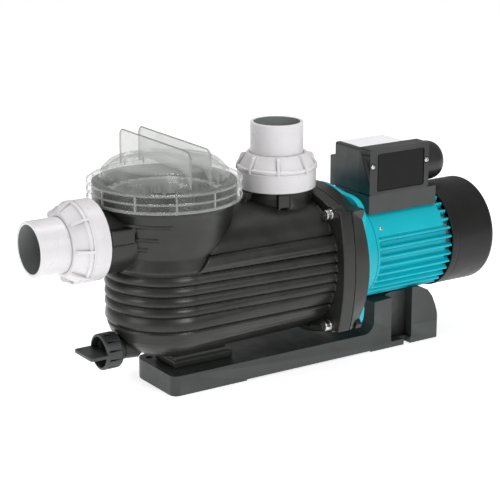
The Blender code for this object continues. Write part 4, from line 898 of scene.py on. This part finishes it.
# ---------------------------------------------------------------- terminal box
def terminal_box():
    box_low, box_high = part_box("terminal_box")
    cover_low, cover_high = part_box("terminal_cover")
    skirt_top = 0.2145
    body_x = (0.1365, 0.2175)
    top = box_high[2]
    seat = rod(MOTOR_R + GAP, box_low[0] - 0.02, box_high[0] + 0.02, "X", (0, 0, SHAFT_Z), 128)
    saddle_gap = prism(rectangle((-0.0345, 0.15), (0.0345, SHAFT_Z + 0.0695)), box_low[0] - OVER,
                       box_high[0] + 0.02, "X")
    skirt = prism(soften(rectangle((box_low[0], cover_low[1] + 0.001), (box_high[0], 0.0290)), 0.003, 4),
                  box_low[2], skirt_top)
    upper = prism(soften(rectangle((body_x[0], skirt_top - 0.004), (body_x[1], top)), 0.003, 3), -0.0240,
                  0.0290, "Y")
    back = block((body_x[0] + 0.001, 0.0250, 0.2130), (body_x[1] - 0.006, 0.0415, 0.2535))
    inside = block((body_x[0] + 0.003, -0.034, skirt_top + 0.002), (body_x[1] - 0.003, 0.0260, top - 0.003))
    hole = rod(0.0083, 0.019, 0.049, "Y", (middle("cable_gland")[0], 0, middle("cable_gland")[2]), 32)
    can = middle("capacitor_cover")
    seat_can = rod(0.0274, body_x[1], box_high[0] + OVER, "X", (0, can[1], can[2]), 64)
    box = combined(skirt, add=[upper, back], cut=[seat, saddle_gap, inside, hole, seat_can])
    piece("terminal_box_moulding", eased(box, 0.0007, 2), BOX_BLACK, "pump", ["terminal_box"],
          32)

    face = cover_low[1]
    cover = prism(soften(rectangle((cover_low[0], skirt_top + GAP), (cover_high[0], cover_high[2])), 0.003,
                         3), face, cover_high[1], "Y")
    hollow = block((body_x[0] + 0.003, face + 0.005, skirt_top + 0.004), (body_x[1] - 0.003, 0, top - 0.003))
    panel = prism(soften(rectangle((0.1480, 0.2190), (0.2255, 0.2690)), 0.003, 3), face - OVER,
                  face + 0.0018, "Y")
    screws = [middle(f"cover_screw_{n}") for n in (1, 2)]
    holes = [rod(0.0024, face - OVER, face + 0.012, "Y", (x, 0, z), 20) for x, _, z in screws]
    wells = [rod(0.0045, face - OVER, face + 0.0006, "Y", (x, 0, z), 32) for x, _, z in screws]
    piece("terminal_cover_moulding", eased(combined(cover, cut=[hollow, panel] + holes + wells), 0.0007, 2),
          COVER_BLACK, "pump", ["terminal_cover"], 32)
    for number, (x, _, z) in enumerate(screws, 1):
        head = turned(soften([(0, -0.0022, 0), (0.0022, -0.0019), (0.0034, -0.0006), (0.0034, 0.0003),
                              (0.0021, 0.0003), (0.0021, 0.0100), (0, 0.0100, 0)], 0.0003, 2,
                             closed=False), "Y", (0, 0, 0), 28)
        cross = [block((-0.0020, -OVER, -0.0004), (0.0020, -0.0010, 0.0004)),
                 block((-0.0004, -OVER, -0.0020), (0.0004, -0.0010, 0.0020))]
        screw = placed(combined(head, cut=cross), (x, face, z), 0.6 * number, "Y")
        piece(f"cover_screw_head_{number}", screw, STEEL, "pump", [f"cover_screw_{number}"], 32)

    x0, x1, r = can[0] * 2 - high("capacitor_cover", "x"), high("capacitor_cover", "x"), 0.0268
    can_shell = turned(soften([(0, x1 - 0.0022, 0), (r - 0.0022, x1 - 0.0022, 0.018), (r - 0.0022, x0),
                               (r, x0, 0.0006), (r, x1, 0.020), (0, x1, 0)], 0.0004, 10, closed=False), "X",
                       (0, can[1], can[2]), 96)
    piece("capacitor_can", can_shell, COVER_BLACK, "pump", ["capacitor_cover"], 32)


# ---------------------------------------------------------------- base
def base():
    x0, x1 = BASE_X
    w = BASE_W
    post = POT_X + 0.2915
    plan = soften([(x1, w, 0), (x0, w, 0.020), (x0, -w, 0.011), (x1, -w, 0)], 0.010, 8)
    plate = prism(plan, 0.0, BASE_TOP)
    arc = [(post - 0.016 + 0.016 * math.sin(a), 0.0420 - 0.016 * math.cos(a))
           for a in (k * math.pi / 16 for k in range(9))]
    outline = arc + [(post, 0.0685), (POT_X + 0.3205, 0.0700), (POT_X + 0.3560, 0.0790),
                     (POT_X + 0.3700, 0.0770), (POT_X + 0.3820, 0.0710), (POT_X + 0.3900, 0.0610),
                     (POT_X + 0.3960, 0.0470), (x1 - 0.0015, 0.0300), (x1 - 0.0005, 0.0100),
                     (post - 0.014, 0.0100)]
    cradle = prism(soften(outline, 0.0005, 1), -w + 0.0002, w - 0.0002, "Y")
    motor_seat = rod(MOTOR_R + 0.0013, post - 0.05, x1 + 0.05, "X", (0, 0, SHAFT_Z), 128)
    cuts = [motor_seat]
    rear_r = 0.0060
    for s in (-1, 1):
        corner = [(x1 - rear_r * (1 - math.cos(a)), s * (w - rear_r * (1 - math.sin(a))))
                  for a in (math.pi * k / 32 for k in range(17))]
        outside = [(x1 - rear_r, s * (w + OVER)), (x1 + OVER, s * (w + OVER)), (x1 + OVER, s * (w - rear_r))]
        cuts.append(prism(corner + outside, -OVER, 0.12))
        y0, y1 = sorted((s * (w - 0.016), s * (w + OVER)))
        pocket = prism(soften([(POT_X + 0.3205, 0.12, 0), (POT_X + 0.3205, 0.0080, 0.003),
                               (POT_X + 0.3550, 0.0080, 0.003), (POT_X + 0.3550, 0.12, 0)], 0.003, 3),
                       y0, y1, "Y")
        cuts.append(pocket)
        y0, y1 = sorted((s * (w - 0.011), s * (w + OVER)))
        cuts.append(block((POT_X + 0.3425, y0, -OVER), (POT_X + 0.3535, y1, 0.02)))
        cuts.append(rod(0.0045, -OVER, 0.05, "Z", (x0 + 0.013, s * 0.033, 0), 32))
    cuts.append(block((POT_X + 0.089, -w - OVER, -OVER), (POT_X + 0.287, w + OVER, 0.0016)))
    for a, b in ((x0 + 0.026, POT_X + 0.055), (POT_X + 0.061, POT_X + 0.168), (POT_X + 0.174, POT_X + 0.286)):
        cuts.append(block((a, -w + 0.006, -OVER), (b, w - 0.006, BASE_TOP - 0.005)))
    piece("base_moulding", eased(combined(plate, add=[cradle], cut=cuts), 0.0022, 3, 40), BASE_BLACK,
          "pump", ["base"], 35)


# ---------------------------------------------------------------- CAD nodes that stay
KEPT = {
    "lid_o_ring": RUBBER, "inlet_o_ring": RUBBER, "outlet_o_ring": RUBBER, "drain_o_ring": RUBBER,
    "flange_gasket": RUBBER, "seal_rotating": RUBBER, "rating_plate": PLATE, "top_label": LABEL,
    "terminal_block": LABEL, "diffuser": BOX_BLACK, "impeller": BOX_BLACK, "cooling_fan": COWL_BLACK,
    "cable_gland": BOX_BLACK, "motor_shaft": STEEL, "front_bearing": STEEL, "rear_bearing": STEEL,
    "rotor_core": LAMINATED, "stator_core": LAMINATED, "front_winding": COPPER, "rear_winding": COPPER,
    "seal_seat": CERAMIC, "motor_rear_shield": CAST, "capacitor": CAST,
}


def dress_kept_nodes():
    for node, look in KEPT.items():
        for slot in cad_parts[node].material_slots:
            slot.material = look


# ---------------------------------------------------------------- studio
def studio():
    bm = bmesh.new()
    bmesh.ops.create_grid(bm, x_segments=2, y_segments=2, size=6.0)
    mesh = bpy.data.meshes.new("floor")
    bm.to_mesh(mesh)
    bm.free()
    floor = bpy.data.objects.new("floor", mesh)
    floor.location.z = -0.0004
    n = Nodes("floor_look")
    n.set("Base Color", (0.93, 0.93, 0.93, 1.0))
    n.set("Roughness", 0.75)
    n.set("Specular IOR Level", 0.1)
    n.set("Emission Color", (1.0, 1.0, 1.0, 1.0))
    n.set("Emission Strength", 0.62)
    mesh.materials.append(n.material)
    bpy.context.scene.collection.objects.link(floor)

    world = bpy.data.worlds.new("studio")
    world.use_nodes = True
    background = world.node_tree.nodes["Background"]
    background.inputs["Color"].default_value = (1.0, 1.0, 1.0, 1.0)
    background.inputs["Strength"].default_value = 0.38
    bpy.context.scene.world = world

    def softbox(name, place, target, width, height, power):
        data = bpy.data.lights.new(name, "AREA")
        data.shape = "RECTANGLE"
        data.size, data.size_y = width, height
        data.energy = power
        lamp = bpy.data.objects.new(name, data)
        lamp.location = place
        lamp.rotation_euler = (Vector(target) - Vector(place)).to_track_quat("-Z", "Y").to_euler()
        bpy.context.scene.collection.objects.link(lamp)

    softbox("key", (0.1, -2.05, 1.15), (-0.05, 0.0, 0.14), 0.8, 0.8, 18.5)
    softbox("side", (-1.9, -0.1, 0.7), (0.0, 0.0, 0.16), 0.8, 0.9, 8.5)
    softbox("top", (0.1, 0.1, 1.9), (0.0, 0.0, 0.1), 0.9, 0.7, 16.0)
    bpy.context.scene.view_settings.view_transform = "Standard"


def camera():
    azimuth, elevation, distance = math.radians(-33.5), math.radians(16.0), 2.1585
    target = Vector((POT_X + 0.1257, 0.0, 0.15538))
    back = Vector((math.sin(azimuth) * math.cos(elevation), -math.cos(azimuth) * math.cos(elevation),
                   math.sin(elevation)))
    data = bpy.data.cameras.new("camera")
    data.lens = 121.2
    data.sensor_width = 36.0
    made = bpy.data.objects.new("camera", data)
    made.location = target + back * distance
    made.rotation_euler = (-back).to_track_quat("-Z", "Y").to_euler()
    bpy.context.scene.collection.objects.link(made)
    bpy.context.scene.camera = made


camera()
studio()
pump_body()
lid()
basket()
union("inlet")
union("outlet")
drain_plug()
bracket()
motor()
cowl()
terminal_box()
base()
dress_kept_nodes()
